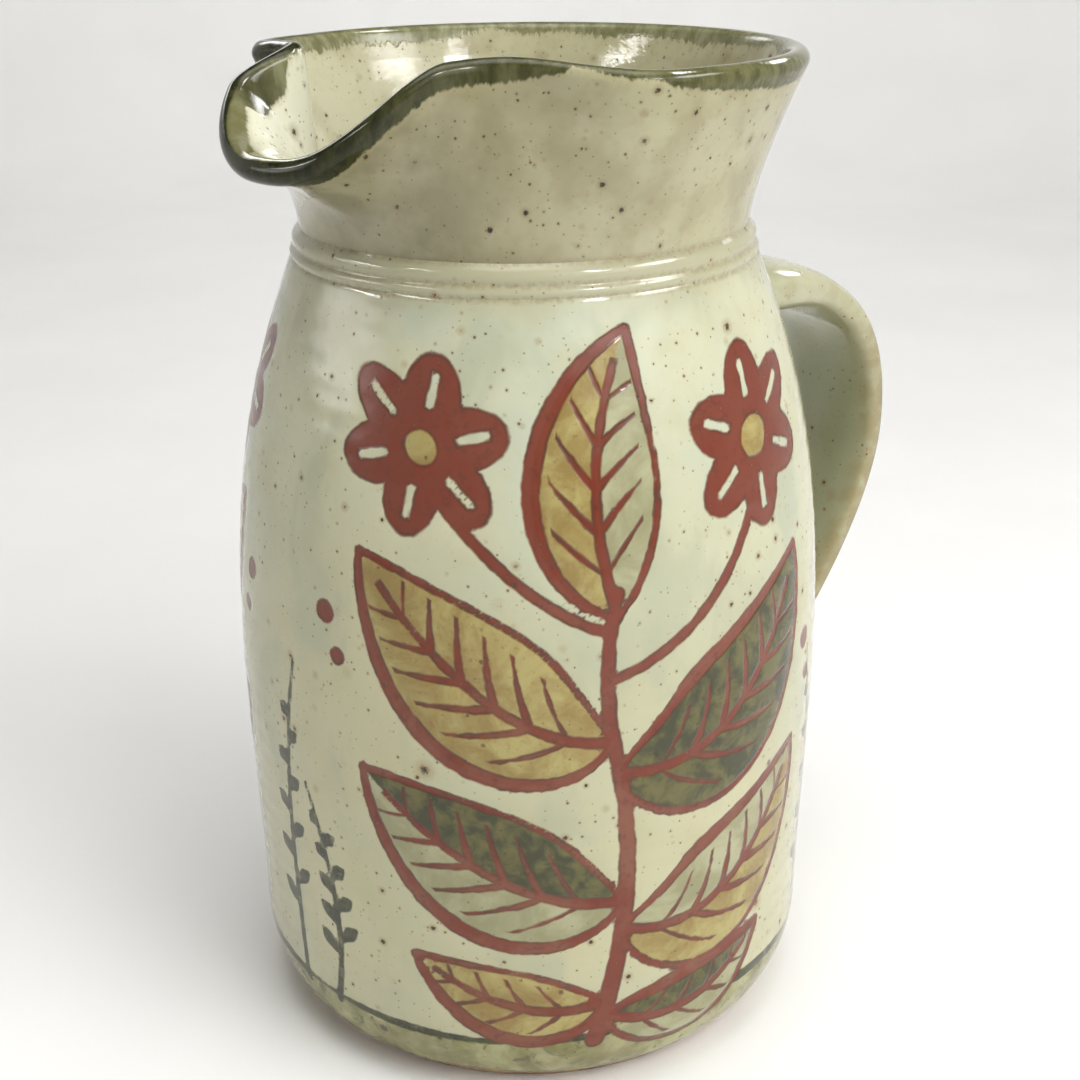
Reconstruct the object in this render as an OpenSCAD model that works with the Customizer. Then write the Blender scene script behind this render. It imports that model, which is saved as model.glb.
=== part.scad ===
// Wheel-thrown stoneware jug with a pulled spout and a strap handle.
// Millimetres, +Z up. The origin is the centre of the foot's flat face,
// the spout points to -X and the handle to +X.
// Diameters and heights are those of the glazed surface, so the clay lies one coat under them.

/* [Body] */
// Height of the body, from the table to the tooled line under the neck
body_h = 201; // [188:1:216]
// Diameter of the flat foot
foot_d = 124; // [114:1:130]
// How far the foot's edge leans out and up before it rounds into the wall
foot_round = 5; // [3:0.5:7]
// Diameter where the rounded foot has become the wall
base_d = 144; // [138:1:147]
// Height where the rounded foot has become the wall
base_h = 22; // [17:1:30]
// Widest diameter of the belly
belly_d = 147; // [142:1:158]
// Height of the widest belly
belly_h = 90; // [70:1:105]
// How far the belly stays upright above its widest place
belly_upright = 45; // [30:1:55]
// How far the shoulder runs straight below the tooled rings
shoulder_run = 35; // [25:1:45]
// Lean of the straight shoulder from the upright, in degrees
shoulder_lean = 23; // [15:1:30]
// Thickness of the wall, coats included
wall_t = 6.5; // [5:0.5:8]
// Thickness of the floor, coat included
floor_t = 9; // [7:0.5:12]
// Rounding where the wall meets the floor inside
floor_round = 16; // [10:1:22]

/* [Tooled rings] */
// Height of the lower ring at the top of the shoulder
lower_ring_h = 2.8; // [2:0.1:4]
// Height of the upper ring, right under the neck
upper_ring_h = 4.4; // [3:0.1:6]
// How far a ring swells from the line of the throat
ring_swell = 0.9; // [0.4:0.1:1.4]
// Ledge that the rings leave around the neck
seam_ledge = 0.3; // [0.2:0.1:0.6]
// Lean of the throat behind the rings, in degrees
throat_lean = 12; // [5:1:18]

/* [Neck and lip] */
// Height of the neck, from the tooled line to the back of the lip
neck_h = 39; // [32:1:48]
// Diameter of the neck at its foot, in the middle of its wall
neck_d = 101.2; // [94:0.2:106]
// Thickness of the neck's wall, coats included
neck_t = 5.2; // [4.4:0.2:6.4]
// Diameter of the lip at the back, in the middle of its wall
lip_d = 125.2; // [116:0.2:134]
// How far the neck rises upright before it flares
neck_upright = 7; // [4:0.5:11]
// How far the flare runs straight below the lip
lip_run = 14; // [9:0.5:17]
// Lean of the flared lip from the upright, in degrees
lip_lean = 25; // [12:1:34]

/* [Spout] */
// How far the spout is pulled out past the round of the lip
spout_reach = 10.5; // [7:0.5:16]
// How far the spout's tip lies below the lip
spout_drop = 17; // [12:0.5:20]
// Half angle of the pulled tip, in degrees
spout_half = 36; // [30:1:42]
// Half angle of the tip's level stretch, in degrees
spout_level = 10; // [4:1:14]
// Lean of the tip from the upright, in degrees
spout_lean = 72; // [56:1:78]
// How far the wall under the spout rises upright before it flares
spout_upright = 13; // [9:0.5:15]
// How far the flare runs straight below the spout's tip
spout_run = 10; // [7:0.5:12]
// Angle from the tip to the pinch on each side of it, in degrees
pinch_angle = 50; // [46:1:56]
// Half angle that each pinch takes up, in degrees
pinch_half = 29; // [24:1:34]
// How far a pinch pushes the lip in
pinch_depth = 12; // [6:0.5:14]
// How far a pinch lifts the lip
pinch_rise = 2.5; // [0:0.5:4]
// How far a pinch turns the lip back from its lean, in degrees
pinch_turn = 28; // [16:1:34]

/* [Handle] */
// Distance from the tooled line down to the middle of the upper root
handle_drop = 25.5; // [23:0.5:34]
// Height of the middle of the lower root above the table
handle_foot = 58; // [46:1:70]
// Widest clear gap for the fingers between the belly and the handle
finger_gap = 38; // [30:1:48]
// Distance from the upper root down to the handle's widest place
handle_elbow = 46; // [40:0.5:54]
// How far the handle springs out from the shoulder before it bends down
handle_spring = 37; // [30:1:42]
// Length of the upper bend's fall to the widest place
upper_fall = 28; // [20:1:32]
// Length of the lower bend's fall from the widest place
lower_fall = 26; // [18:1:30]
// How far out from the lower root the tail lines up with its end
tail_out = 14.5; // [10:0.5:18]
// How far up from the lower root the tail lines up with its end
tail_up = 12; // [8:0.5:16]
// Width of the strap under its upper root
strap_w_top = 34; // [28:1:38]
// Width of the strap above its lower root
strap_w_low = 27; // [22:1:32]
// Thickness of the strap under its upper root
strap_t_top = 11.5; // [9:0.5:13]
// Thickness of the strap above its lower root
strap_t_low = 8.5; // [7:0.5:11]
// Extra width where a root spreads onto the body
root_spread = 8; // [3:0.5:10]
// Extra thickness where a root spreads onto the body
root_swell = 3; // [1:0.5:5]

/* [Glaze] */
// Thickness of every coat
coat_t = 0.6; // [0.4:0.1:0.8]
// Height of the bare clay left at the foot
bare_foot = 3.5; // [2:0.5:7]
// Depth of the dark coat over the lip
rim_band = 6; // [4:0.5:8]

/* [Hidden] */

// Reach of the cutting solids past what they cut
over = 5;
// Depth that the handle's roots run into the body before they are trimmed to it
root_bury = 14;
// Steps of the curves and lofts
belly_steps = 5;
shoulder_steps = 10;
round_steps = 6;
ring_steps = 6;
neck_sides = 64;
neck_rows = 5;
lip_steps = 5;
strap_sides = 20;
bend_steps = 13;
// Degrees by which the neck's sections crowd towards the spout
crowding = 28;
// Share of the handle's length over which a root spreads
root_share = 0.2;
// Share of the coat's thickness, from its inner face, where the lap inside begins
lap_share = 0.67;
// Squareness of the strap's section, where 2 is an ellipse
strap_power = 2.5;
$fn = 96;

foot_r = foot_d / 2;
base_r = base_d / 2;
belly_r = belly_d / 2;
jug_h = body_h + neck_h;
rings_z = body_h - upper_ring_h - lower_ring_h;
throat_r = neck_d / 2 + neck_t / 2 + seam_ledge;
// Inside, the coats of body and neck meet over half their thickness
throat_in_r = neck_d / 2 - neck_t / 2 - coat_t / 2;

// Curves
function bezier(p, t) =
    pow(1 - t, 3) * p[0] + 3 * t * pow(1 - t, 2) * p[1]
    + 3 * t * t * (1 - t) * p[2] + pow(t, 3) * p[3];
function bezier_slope(p, t) =
    pow(1 - t, 2) * (p[1] - p[0]) + 2 * t * (1 - t) * (p[2] - p[1]) + t * t * (p[3] - p[2]);
function unit(v) = v / norm(v);
function reversed(list) = [for (i = [len(list) - 1:-1:0]) list[i]];
// A smooth swell of height 1 at u = 0 that is gone at u = -1 and u = 1
function swell(u) = abs(u) < 1 ? pow(cos(90 * u), 2) : 0;
// A smooth step from 0 at a to 1 at b
function step(a, b, x) = let (u = max(0, min(1, (x - a) / (b - a)))) u * u * (3 - 2 * u);

// Outline of the body in [radius, height], from the foot up to the tooled line
function throat_line(z) = throat_r + (body_h - z) * tan(throat_lean);
function ring_points(z, h) = [
    for (i = [1:ring_steps])
        let (u = i / ring_steps)
        [throat_line(z + u * h) + ring_swell * sin(180 * u), z + u * h]
];
function foot_curve() = [
    [foot_r, 0], [foot_r + foot_round, foot_round],
    [base_r, base_h / 2], [base_r, base_h]
];
function belly_curve() = [
    [base_r, base_h], [base_r, base_h + (belly_h - base_h) / 3],
    [belly_r, belly_h - (belly_h - base_h) / 3], [belly_r, belly_h]
];
function shoulder_curve() =
    let (top = [throat_line(rings_z) + ring_swell / 2, rings_z])
    [
        [belly_r, belly_h], [belly_r, belly_h + belly_upright],
        top + shoulder_run * [sin(shoulder_lean), -cos(shoulder_lean)], top
    ];
function outline(inset) = [
    for (p = concat(
        [for (i = [0:round_steps]) bezier(foot_curve(), i / round_steps)],
        [for (i = [1:belly_steps]) bezier(belly_curve(), i / belly_steps)],
        [for (i = [1:shoulder_steps]) bezier(shoulder_curve(), i / shoulder_steps)],
        [[throat_line(rings_z), rings_z]],
        ring_points(rings_z, lower_ring_h),
        ring_points(rings_z + lower_ring_h, upper_ring_h)
    ))
        p - [inset, 0]
];
// Radius of the glazed body at a height
function body_radius(z) = lookup(z, [for (p = outline(0)) [p[1], p[0]]]);

// Outline of the hollow, from the middle of the floor up to the tooled line
function hollow(inset) =
    let (
        corner = [base_r - wall_t - floor_round, floor_t + floor_round],
        arc_r = floor_round + inset
    )
    concat(
        [[0, floor_t - inset]],
        [
            for (i = [0:round_steps])
                let (q = 90 * i / round_steps)
                corner + arc_r * [sin(q), -cos(q)]
        ],
        [
            for (i = [1:belly_steps])
                let (p = bezier(belly_curve(), i / belly_steps))
                if (p[1] > floor_t + floor_round + 1) p - [wall_t - inset, 0]
        ],
        [
            for (i = [1:shoulder_steps])
                bezier(shoulder_curve(), i / shoulder_steps) - [wall_t - inset, 0]
        ],
        [[throat_in_r + inset, body_h]]
    );

// A solid of revolution of the body's outline, used as clay and to trim what seats on it
module body_form(inset) {
    points = outline(inset);
    rotate_extrude()
        polygon(concat([[0, 0]], points, [[0, body_h]]));
}

// Path of the lip around the neck; a is the angle from the spout's tip
function lip_radius(a) =
    lip_d / 2 + spout_reach * swell(a / spout_half)
    - pinch_depth * swell((abs(a) - pinch_angle) / pinch_half);
function lip_height(a) =
    jug_h - neck_t / 2
    - spout_drop * (1 - step(spout_level, spout_half + 3, abs(a)))
    + pinch_rise * swell((abs(a) - pinch_angle) / pinch_half);
function lip_angle(a) =
    lip_lean + (spout_lean - lip_lean) * swell(a / spout_half)
    - pinch_turn * swell((abs(a) - pinch_angle) / pinch_half);

// Middle of the neck's wall at an angle, in [radius, height]
function neck_curve(a) =
    let (
        tip = swell(a / spout_half),
        upright = neck_upright + (spout_upright - neck_upright) * tip,
        run = lip_run + (spout_run - lip_run) * tip,
        lip = [lip_radius(a), lip_height(a)]
    )
    [
        [neck_d / 2, body_h], [neck_d / 2, body_h + upright],
        lip - run * [sin(lip_angle(a)), cos(lip_angle(a))], lip
    ];
// A point beside the middle of the wall, d outwards from it
function neck_side(a, t, d) =
    let (along = unit(bezier_slope(neck_curve(a), t)))
    bezier(neck_curve(a), t) + d * [along[1], -along[0]];
// A point around the lip, where q runs from 0 outside to 180 inside
function lip_round(a, q, d) =
    let (along = unit(bezier_slope(neck_curve(a), 1)))
    bezier(neck_curve(a), 1) + d * (cos(q) * [along[1], -along[0]] + sin(q) * along);

// Rows of the neck below the dark coat, and where that coat begins
rim_start = 1 - rim_band / neck_h;
function wall_rows(a, d) = [
    for (i = [0:neck_rows]) neck_side(a, rim_start * i / neck_rows, d)
];
// Points over the lip from the dark coat's outer edge to its inner edge
function lip_rows(a, d) = concat(
    [neck_side(a, rim_start, d)],
    [for (i = [0:lip_steps]) lip_round(a, 180 * i / lip_steps, d)],
    [neck_side(a, rim_start, -d)]
);

// Angles of the neck's sections, closer together at the spout
neck_angles = [
    for (i = [0:neck_sides - 1])
        let (a = 360 * i / neck_sides - 180)
        a - crowding * sin(a)
];
// Turns a point in [radius, height] to its angle from the spout's tip, which is at -X
function around(a, p) = [-p[0] * cos(a), -p[0] * sin(a), p[1]];

// Joins closed sections into a closed ring, each quad split along its shorter diagonal
module ring_loft(sections) {
    n = len(sections);
    k = len(sections[0]);
    points = [for (s = sections) each s];
    function corner(i, j) = (i % n) * k + j % k;
    function split(a, b, c, d) =
        norm(points[a] - points[c]) <= norm(points[b] - points[d])
        ? [[a, b, c], [a, c, d]]
        : [[a, b, d], [b, c, d]];
    faces = [
        for (i = [0:n - 1], j = [0:k - 1])
            each split(corner(i, j), corner(i, j + 1), corner(i + 1, j + 1), corner(i + 1, j))
    ];
    polyhedron(points, faces);
}

// A coat between two lines of points, the outer and the inner one, around the neck
module neck_coat(outer, inner) {
    ring_loft([
        for (i = [0:neck_sides - 1])
            [for (p = concat(outer[i], reversed(inner[i]))) around(neck_angles[i], p)]
    ]);
}

// Path of the handle's middle in the plane of spout and handle
handle_top = [body_radius(body_h - handle_drop), body_h - handle_drop];
handle_low = [body_radius(handle_foot), handle_foot];
handle_mid = [
    belly_r + finger_gap + (strap_t_top + strap_t_low) / 4,
    body_h - handle_drop - handle_elbow
];
upper_bend = [
    handle_top, handle_top + [handle_spring, 0], handle_mid + [0, upper_fall], handle_mid
];
lower_bend = [
    handle_mid, handle_mid - [0, lower_fall], handle_low + [tail_out, tail_up], handle_low
];
// Stations along the handle: [place, direction, share of the length]
handle_stations = concat(
    [[handle_top - [root_bury, 0], [1, 0], 0]],
    [
        for (i = [0:bend_steps])
            let (u = i / bend_steps)
            [bezier(upper_bend, u), unit(bezier_slope(upper_bend, u)), u / 2]
    ],
    [
        for (i = [1:bend_steps])
            let (u = i / bend_steps)
            [bezier(lower_bend, u), unit(bezier_slope(lower_bend, u)), 0.5 + u / 2]
    ],
    [[
        handle_low - root_bury * unit([tail_out, tail_up]),
        -unit([tail_out, tail_up]), 1
    ]]
);
// Spread of a root, 1 where it meets the body and 0 along the free strap
function spread(u) = max(1 - step(0, root_share, u), step(1 - root_share, 1, u));
function strap_width(u) = strap_w_top + (strap_w_low - strap_w_top) * u + root_spread * spread(u);
function strap_thick(u) = strap_t_top + (strap_t_low - strap_t_top) * u + root_swell * spread(u);
function rounded(v) = sign(v) * pow(abs(v), 2 / strap_power);
// A point of the strap's section, at angle q around it
function strap_point(station, q, inset) =
    let (
        side = (strap_width(station[2]) / 2 - inset) * rounded(sin(q)),
        out = (strap_thick(station[2]) / 2 - inset) * rounded(cos(q)),
        place = station[0] + out * [-station[1][1], station[1][0]]
    )
    [place[0], side, place[1]];

// The strap with its roots still running into the body
module handle_form(inset) {
    n = len(handle_stations);
    k = strap_sides;
    points = [
        for (s = handle_stations, j = [0:k - 1]) strap_point(s, 360 * j / k, inset)
    ];
    function split(a, b, c, d) =
        norm(points[a] - points[c]) <= norm(points[b] - points[d])
        ? [[a, b, c], [a, c, d]]
        : [[a, b, d], [b, c, d]];
    sides = [
        for (i = [0:n - 2], j = [0:k - 1])
            let (m = (j + 1) % k)
            each split(i * k + j, i * k + m, (i + 1) * k + m, (i + 1) * k + j)
    ];
    start = [for (j = [k - 1:-1:0]) j];
    finish = [for (j = [0:k - 1]) (n - 1) * k + j];
    polyhedron(points, concat([start], sides, [finish]));
}

// The coat round the strap, before it is trimmed to the glazed body
module handle_coat() {
    ring_loft([
        for (j = [0:strap_sides - 1])
            let (q = 360 * j / strap_sides)
            concat(
                [for (s = handle_stations) strap_point(s, q, 0)],
                [for (s = reversed(handle_stations)) strap_point(s, q, coat_t)]
            )
    ]);
}

// Thrown clay: floor, belly, shoulder and the two tooled rings
module body() {
    color("tan")
        rotate_extrude()
            polygon(concat([[0, 0]], outline(coat_t), reversed(hollow(coat_t))));
}

// Clay collar with the pulled spout, standing on the tooled line
module neck() {
    clay = neck_t / 2 - coat_t;
    color("tan")
        ring_loft([
            for (a = neck_angles)
                [
                    for (p = concat(
                        wall_rows(a, clay),
                        [for (i = [0:lip_steps]) lip_round(a, 180 * i / lip_steps, clay)],
                        reversed(wall_rows(a, -clay))
                    ))
                        around(a, p)
                ]
        ]);
}

// Pulled clay strap, trimmed to the clay body at both roots
module handle() {
    color("tan")
        difference() {
            handle_form(coat_t);
            body_form(coat_t);
        }
}

// Pale coat outside the body, open where the handle is joined and bare at the foot
module body_glaze() {
    color("ivory")
        difference() {
            rotate_extrude()
                polygon(concat(outline(0), reversed(outline(coat_t))));
            translate([0, 0, -over])
                cylinder(h = bare_foot + over, r = belly_r + over);
            handle_form(coat_t);
        }
}

// Pale coat outside the neck, from the tooled line to the dark lip
module neck_glaze() {
    color("wheat")
        neck_coat(
            [for (a = neck_angles) wall_rows(a, neck_t / 2)],
            [for (a = neck_angles) wall_rows(a, neck_t / 2 - coat_t)]
        );
}

// Pale coat round the handle, trimmed to the glazed body
module handle_glaze() {
    color("ivory")
        difference() {
            handle_coat();
            body_form(0);
        }
}

// Dark coat over the lip and the spout
module rim_glaze() {
    color("darkolivegreen")
        neck_coat(
            [for (a = neck_angles) lip_rows(a, neck_t / 2)],
            [for (a = neck_angles) lip_rows(a, neck_t / 2 - coat_t)]
        );
}

// Pale coat inside the body and inside the neck, lapped where the two meet
module liner_glaze() {
    lap_r = throat_in_r + coat_t * lap_share;
    lap = [[lap_r, body_h], [lap_r, body_h + coat_t], [throat_in_r + coat_t, body_h + coat_t]];
    color("ivory") {
        rotate_extrude()
            polygon(concat(hollow(0), lap, reversed(hollow(coat_t))));
        neck_coat(
            [for (a = neck_angles) wall_rows(a, coat_t - neck_t / 2)],
            [for (a = neck_angles) wall_rows(a, -neck_t / 2)]
        );
    }
}

body();
neck();
handle();
body_glaze();
neck_glaze();
handle_glaze();
rim_glaze();
liner_glaze();
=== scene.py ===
"""Wheel-thrown stoneware jug with a pulled spout and a strap handle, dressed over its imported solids.

Sizes are in millimetres and repeat those of the solids; the meshes are made in metres.
"""

import logging
import math
from collections.abc import Callable, Sequence
from dataclasses import dataclass, replace
from enum import Enum
from functools import reduce

import bmesh
import bpy
import numpy as np
from mathutils import Matrix, Vector


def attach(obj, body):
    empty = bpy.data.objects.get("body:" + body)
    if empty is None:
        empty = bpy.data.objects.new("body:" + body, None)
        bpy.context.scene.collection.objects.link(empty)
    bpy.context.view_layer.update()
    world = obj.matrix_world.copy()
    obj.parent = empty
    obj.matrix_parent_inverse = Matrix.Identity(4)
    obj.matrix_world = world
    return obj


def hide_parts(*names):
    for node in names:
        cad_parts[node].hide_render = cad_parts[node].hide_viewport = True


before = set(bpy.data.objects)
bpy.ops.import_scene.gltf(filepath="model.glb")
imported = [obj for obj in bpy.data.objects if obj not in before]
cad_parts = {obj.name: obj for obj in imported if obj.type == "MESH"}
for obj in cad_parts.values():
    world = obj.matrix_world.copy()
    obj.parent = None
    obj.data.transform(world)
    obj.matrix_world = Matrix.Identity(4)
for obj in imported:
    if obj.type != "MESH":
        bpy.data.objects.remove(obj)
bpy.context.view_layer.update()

LOG = logging.getLogger("jug")
MM = 0.001  # metres in a millimetre
TINY = 1e-6  # a length that counts as none
WELD = 2e-3  # vertices of a turned mesh that lie closer than this are one
SECTORS = 8  # equal sectors that a turned mesh is copied from
FAR = 40.0  # distance from a paint that isn't near
FINE = np.linspace(0, 1, 160)  # places along one curve of a profile

Socket = bpy.types.NodeSocket
Material = bpy.types.Material
Piece = bpy.types.Object
Mesh = bmesh.types.BMesh
Point = tuple[float, float]
Range = tuple[float, float]
Triple = tuple[float, float, float]
Colour = Triple
Value = Socket | float | Colour


def swell(u: np.ndarray) -> np.ndarray:
    """A smooth swell of height 1 at u = 0 that is gone at u = -1 and u = 1."""
    return np.where(np.abs(u) < 1, np.cos(np.pi / 2 * u) ** 2, 0.0)


def step(a: float, b: float, x: np.ndarray) -> np.ndarray:
    """A smooth step from 0 at a to 1 at b."""
    u = np.clip((x - a) / (b - a), 0, 1)
    return u * u * (3 - 2 * u)


def bezier(points: Sequence, t: np.ndarray) -> np.ndarray:
    """Points on a cubic curve.

    Args:
        points: Four control points, each of shape (2,) or (n, 2).
        t: Places along the curve, 0 to 1.

    Returns:
        The points, of shape (n, 2).
    """
    p = [np.asarray(q, float) for q in points]
    t = np.asarray(t, float)[..., None]
    return (1 - t) ** 3 * p[0] + 3 * t * (1 - t) ** 2 * p[1] + 3 * t * t * (1 - t) * p[2] + t**3 * p[3]


def bezier_slope(points: Sequence, t: np.ndarray) -> np.ndarray:
    """Unit directions of a cubic curve.

    Args:
        points: Four control points, each of shape (2,) or (n, 2).
        t: Places along the curve, 0 to 1.

    Returns:
        The directions, of shape (n, 2).
    """
    p = [np.asarray(q, float) for q in points]
    t = np.asarray(t, float)[..., None]
    v = (1 - t) ** 2 * (p[1] - p[0]) + 2 * t * (1 - t) * (p[2] - p[1]) + t * t * (p[3] - p[2])
    return v / np.linalg.norm(v, axis=-1, keepdims=True)


def run_of(line: np.ndarray) -> np.ndarray:
    """Length along a line at each of its points."""
    return np.concatenate([[0.0], np.cumsum(np.linalg.norm(np.diff(line, axis=0), axis=1))])


def respaced(line: np.ndarray, pitch: Callable[[np.ndarray], np.ndarray]) -> np.ndarray:
    """Spaces the points of a line anew.

    Args:
        line: Points of shape (n, 2), close together.
        pitch: Gives the wanted spacing for points of shape (n, 2).

    Returns:
        Points on the same line at the wanted spacing, its ends kept.
    """
    run = run_of(line)
    middle = (line[1:] + line[:-1]) / 2
    count = np.concatenate([[0.0], np.cumsum(np.diff(run) / pitch(middle))])
    at = np.interp(np.linspace(0, count[-1], max(2, round(count[-1])) + 1), count, run)
    return np.stack([np.interp(at, run, line[:, k]) for k in range(2)], axis=-1)


def evenly(line: np.ndarray, pitch: float) -> np.ndarray:
    """Spaces the points of a line anew, all at one spacing."""
    return respaced(line, lambda p: np.full(len(p), pitch))


def softened(
    line: np.ndarray, reach: float, weight: Callable[[np.ndarray], np.ndarray], pitch: float = 0.1
) -> np.ndarray:
    """Rounds the corners of a line, as glaze does.

    Args:
        line: Points of shape (n, 2).
        reach: Spread of the rounding.
        weight: Gives the share of rounding for points of shape (n, 2).
        pitch: Spacing of the rounded line.

    Returns:
        Points close together on the rounded line.
    """
    fine = evenly(line, pitch)
    half = int(4 * reach / pitch)
    kernel = np.exp(-0.5 * (np.arange(-half, half + 1) * pitch / reach) ** 2)
    kernel /= kernel.sum()
    longer = [np.pad(column, half, mode="reflect", reflect_type="odd") for column in fine.T]
    smooth = np.stack([np.convolve(column, kernel, "valid") for column in longer], axis=-1)
    share = weight(fine)[:, None]
    return fine * (1 - share) + smooth * share


def ripple(a: np.ndarray, b: np.ndarray | float, seed: int, waves: int = 7) -> np.ndarray:
    """A smooth uneven field between 0 and 1, the same at every run.

    Args:
        a: Angle around the jug in radians, so the field closes on itself.
        b: The other place, in radians of its own.
        seed: Number of the field.
        waves: How many waves are laid over each other.

    Returns:
        The field at the places.
    """
    draw = np.random.default_rng(seed)
    total = np.zeros(np.broadcast(a, b).shape)
    for _ in range(waves):
        turns = int(draw.integers(-3, 4))
        climb = draw.uniform(0.5, 2.5)
        total = total + np.sin(turns * a + climb * b + draw.uniform(0, 2 * np.pi))
    return 0.5 + 0.5 * np.tanh(total / math.sqrt(waves))


@dataclass(frozen=True)
class JugForm:
    """Sizes of the glazed surface, and the curves that they give."""

    body_h: float = 201.0
    foot_d: float = 124.0
    foot_round: float = 5.0
    base_d: float = 144.0
    base_h: float = 22.0
    belly_d: float = 147.0
    belly_h: float = 90.0
    belly_upright: float = 45.0
    shoulder_run: float = 35.0
    shoulder_lean: float = 23.0
    wall_t: float = 6.5
    floor_t: float = 9.0
    floor_round: float = 16.0
    floor_reach: float = 4.0
    floor_clear: float = 1.0
    lower_ring_h: float = 2.8
    upper_ring_h: float = 4.4
    ring_swell: float = 0.9
    seam_ledge: float = 0.3
    throat_lean: float = 12.0
    throat_round: float = 1.2
    throat_soft: Range = (8.0, 5.0)
    neck_h: float = 39.0
    neck_d: float = 101.2
    neck_t: float = 5.2
    lip_d: float = 125.2
    neck_upright: float = 7.0
    lip_run: float = 14.0
    lip_lean: float = 25.0
    spout_reach: float = 9.2
    beak_round: float = 41.0
    beak_turn: float = 4.5
    beak_half: float = 60.0
    beak_blend: float = 1.2
    tip_swell: float = 0.065
    spout_turn: float = 1.1
    spout_half: float = 41.5
    spout_drop: float = 17.7
    drop_near: float = 35.6
    drop_far: float = 45.2
    drop_power: float = 1.63
    spout_lean: float = 87.0
    spout_upright: float = 8.0
    spout_run: float = 12.2
    pinch_angle: float = 48.3
    pinch_half: float = 32.8
    pinch_depth: float = 11.4
    pinch_rise: float = 2.35
    pinch_turn: float = 28.0
    notch_angle: float = -40.0
    notch_half: float = 14.0
    notch_depth: float = 10.0
    notch_rise: float = 1.0
    notch_turn: float = 20.0
    ear_angle: float = -56.0
    ear_half: float = 14.0
    ear_out: float = 1.5
    slope_turn: float = 1.0
    slope_most: float = 0.8
    coat_t: float = 0.6
    bare_foot: float = 3.5
    rim_band: float = 6.0
    glaze_round: float = 0.42
    glaze_soft: Range = (4.0, 2.0)
    crease: float = 0.15
    crease_reach: float = 1.6

    @property
    def jug_h(self) -> float:
        """Height of the straight collar's top, before it is pulled."""
        return self.body_h + self.neck_h

    @property
    def rings_z(self) -> float:
        """Height where the tooled rings begin."""
        return self.body_h - self.upper_ring_h - self.lower_ring_h

    @property
    def throat_r(self) -> float:
        """Outer radius at the tooled line."""
        return self.neck_d / 2 + self.neck_t / 2 + self.seam_ledge

    @property
    def throat_in_r(self) -> float:
        """Inner radius at the tooled line."""
        return self.neck_d / 2 - self.neck_t / 2 - self.coat_t / 2

    @property
    def rim_z(self) -> float:
        """Height on the straight collar where the dark coat begins."""
        return self.jug_h - self.rim_band

    def throat_line(self, z: np.ndarray) -> np.ndarray:
        """Radius of the throat behind the rings."""
        return self.throat_r + (self.body_h - z) * math.tan(math.radians(self.throat_lean))

    def below_rings(self, z: np.ndarray, start: float, full: float) -> np.ndarray:
        """A smooth step that starts at one distance below the rings and is full at another."""
        return step(self.rings_z - start, self.rings_z - full, z)

    def crease_at(self, z: np.ndarray) -> np.ndarray:
        """Share of the crease between body and neck at a height."""
        return np.exp(-(((z - self.body_h) / self.crease_reach) ** 2))

    def belly_curve(self) -> list[Point]:
        """The wall from the foot to the widest belly.

        Returns:
            Four control points in (radius, height).
        """
        third = (self.belly_h - self.base_h) / 3
        base_r, belly_r = self.base_d / 2, self.belly_d / 2
        return [
            (base_r, self.base_h),
            (base_r, self.base_h + third),
            (belly_r, self.belly_h - third),
            (belly_r, self.belly_h),
        ]

    def shoulder_curve(self) -> list[Point]:
        """The wall from the belly to the rings.

        Returns:
            Four control points in (radius, height).
        """
        lean = math.radians(self.shoulder_lean)
        top_r = float(self.throat_line(np.float64(self.rings_z))) + self.ring_swell / 2
        return [
            (self.belly_d / 2, self.belly_h),
            (self.belly_d / 2, self.belly_h + self.belly_upright),
            (top_r + self.shoulder_run * math.sin(lean), self.rings_z - self.shoulder_run * math.cos(lean)),
            (top_r, self.rings_z),
        ]

    def outline(self) -> np.ndarray:
        """The glazed outside, its corners rounded.

        Returns:
            Points in (radius, height), from the foot to the tooled line.
        """
        foot_r, base_r = self.foot_d / 2, self.base_d / 2
        foot = [
            (foot_r, 0),
            (foot_r + self.foot_round, self.foot_round),
            (base_r, self.base_h / 2),
            (base_r, self.base_h),
        ]
        parts = [bezier(foot, FINE)]
        parts += [bezier(curve, FINE)[1:] for curve in (self.belly_curve(), self.shoulder_curve())]
        starts = (self.rings_z, self.rings_z + self.lower_ring_h)
        for z, h in zip(starts, (self.lower_ring_h, self.upper_ring_h)):
            at = z + FINE * h
            parts.append(np.stack([self.throat_line(at) + self.ring_swell * np.sin(np.pi * FINE), at], -1))
        line = np.concatenate(parts)
        line = softened(line, self.glaze_round, lambda p: self.below_rings(p[:, 1], *self.glaze_soft))
        line[:, 0] -= (self.crease + self.seam_ledge) * self.crease_at(line[:, 1])
        return line

    def hollow(self) -> np.ndarray:
        """The glazed inside.

        Returns:
            Points in (radius, height), from the middle of the floor to the tooled line.
        """
        turn = np.pi / 2 * FINE
        corner_r = self.base_d / 2 - self.wall_t - self.floor_round
        corner = np.array([corner_r, self.floor_t + self.floor_round])
        arc = corner + self.floor_round * np.stack([np.sin(turn), -np.cos(turn)], -1)
        belly, shoulder = (
            bezier(curve, FINE) - (self.wall_t, 0) for curve in (self.belly_curve(), self.shoulder_curve())
        )
        belly = belly[belly[:, 1] > corner[1] + self.floor_clear]
        middle, top = np.array([[0.0, self.floor_t]]), np.array([[self.throat_in_r, self.body_h]])
        line = np.concatenate([middle, arc, belly, shoulder[1:], top])
        return softened(line, self.throat_round, lambda p: self.below_rings(p[:, 1], *self.throat_soft))

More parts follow.
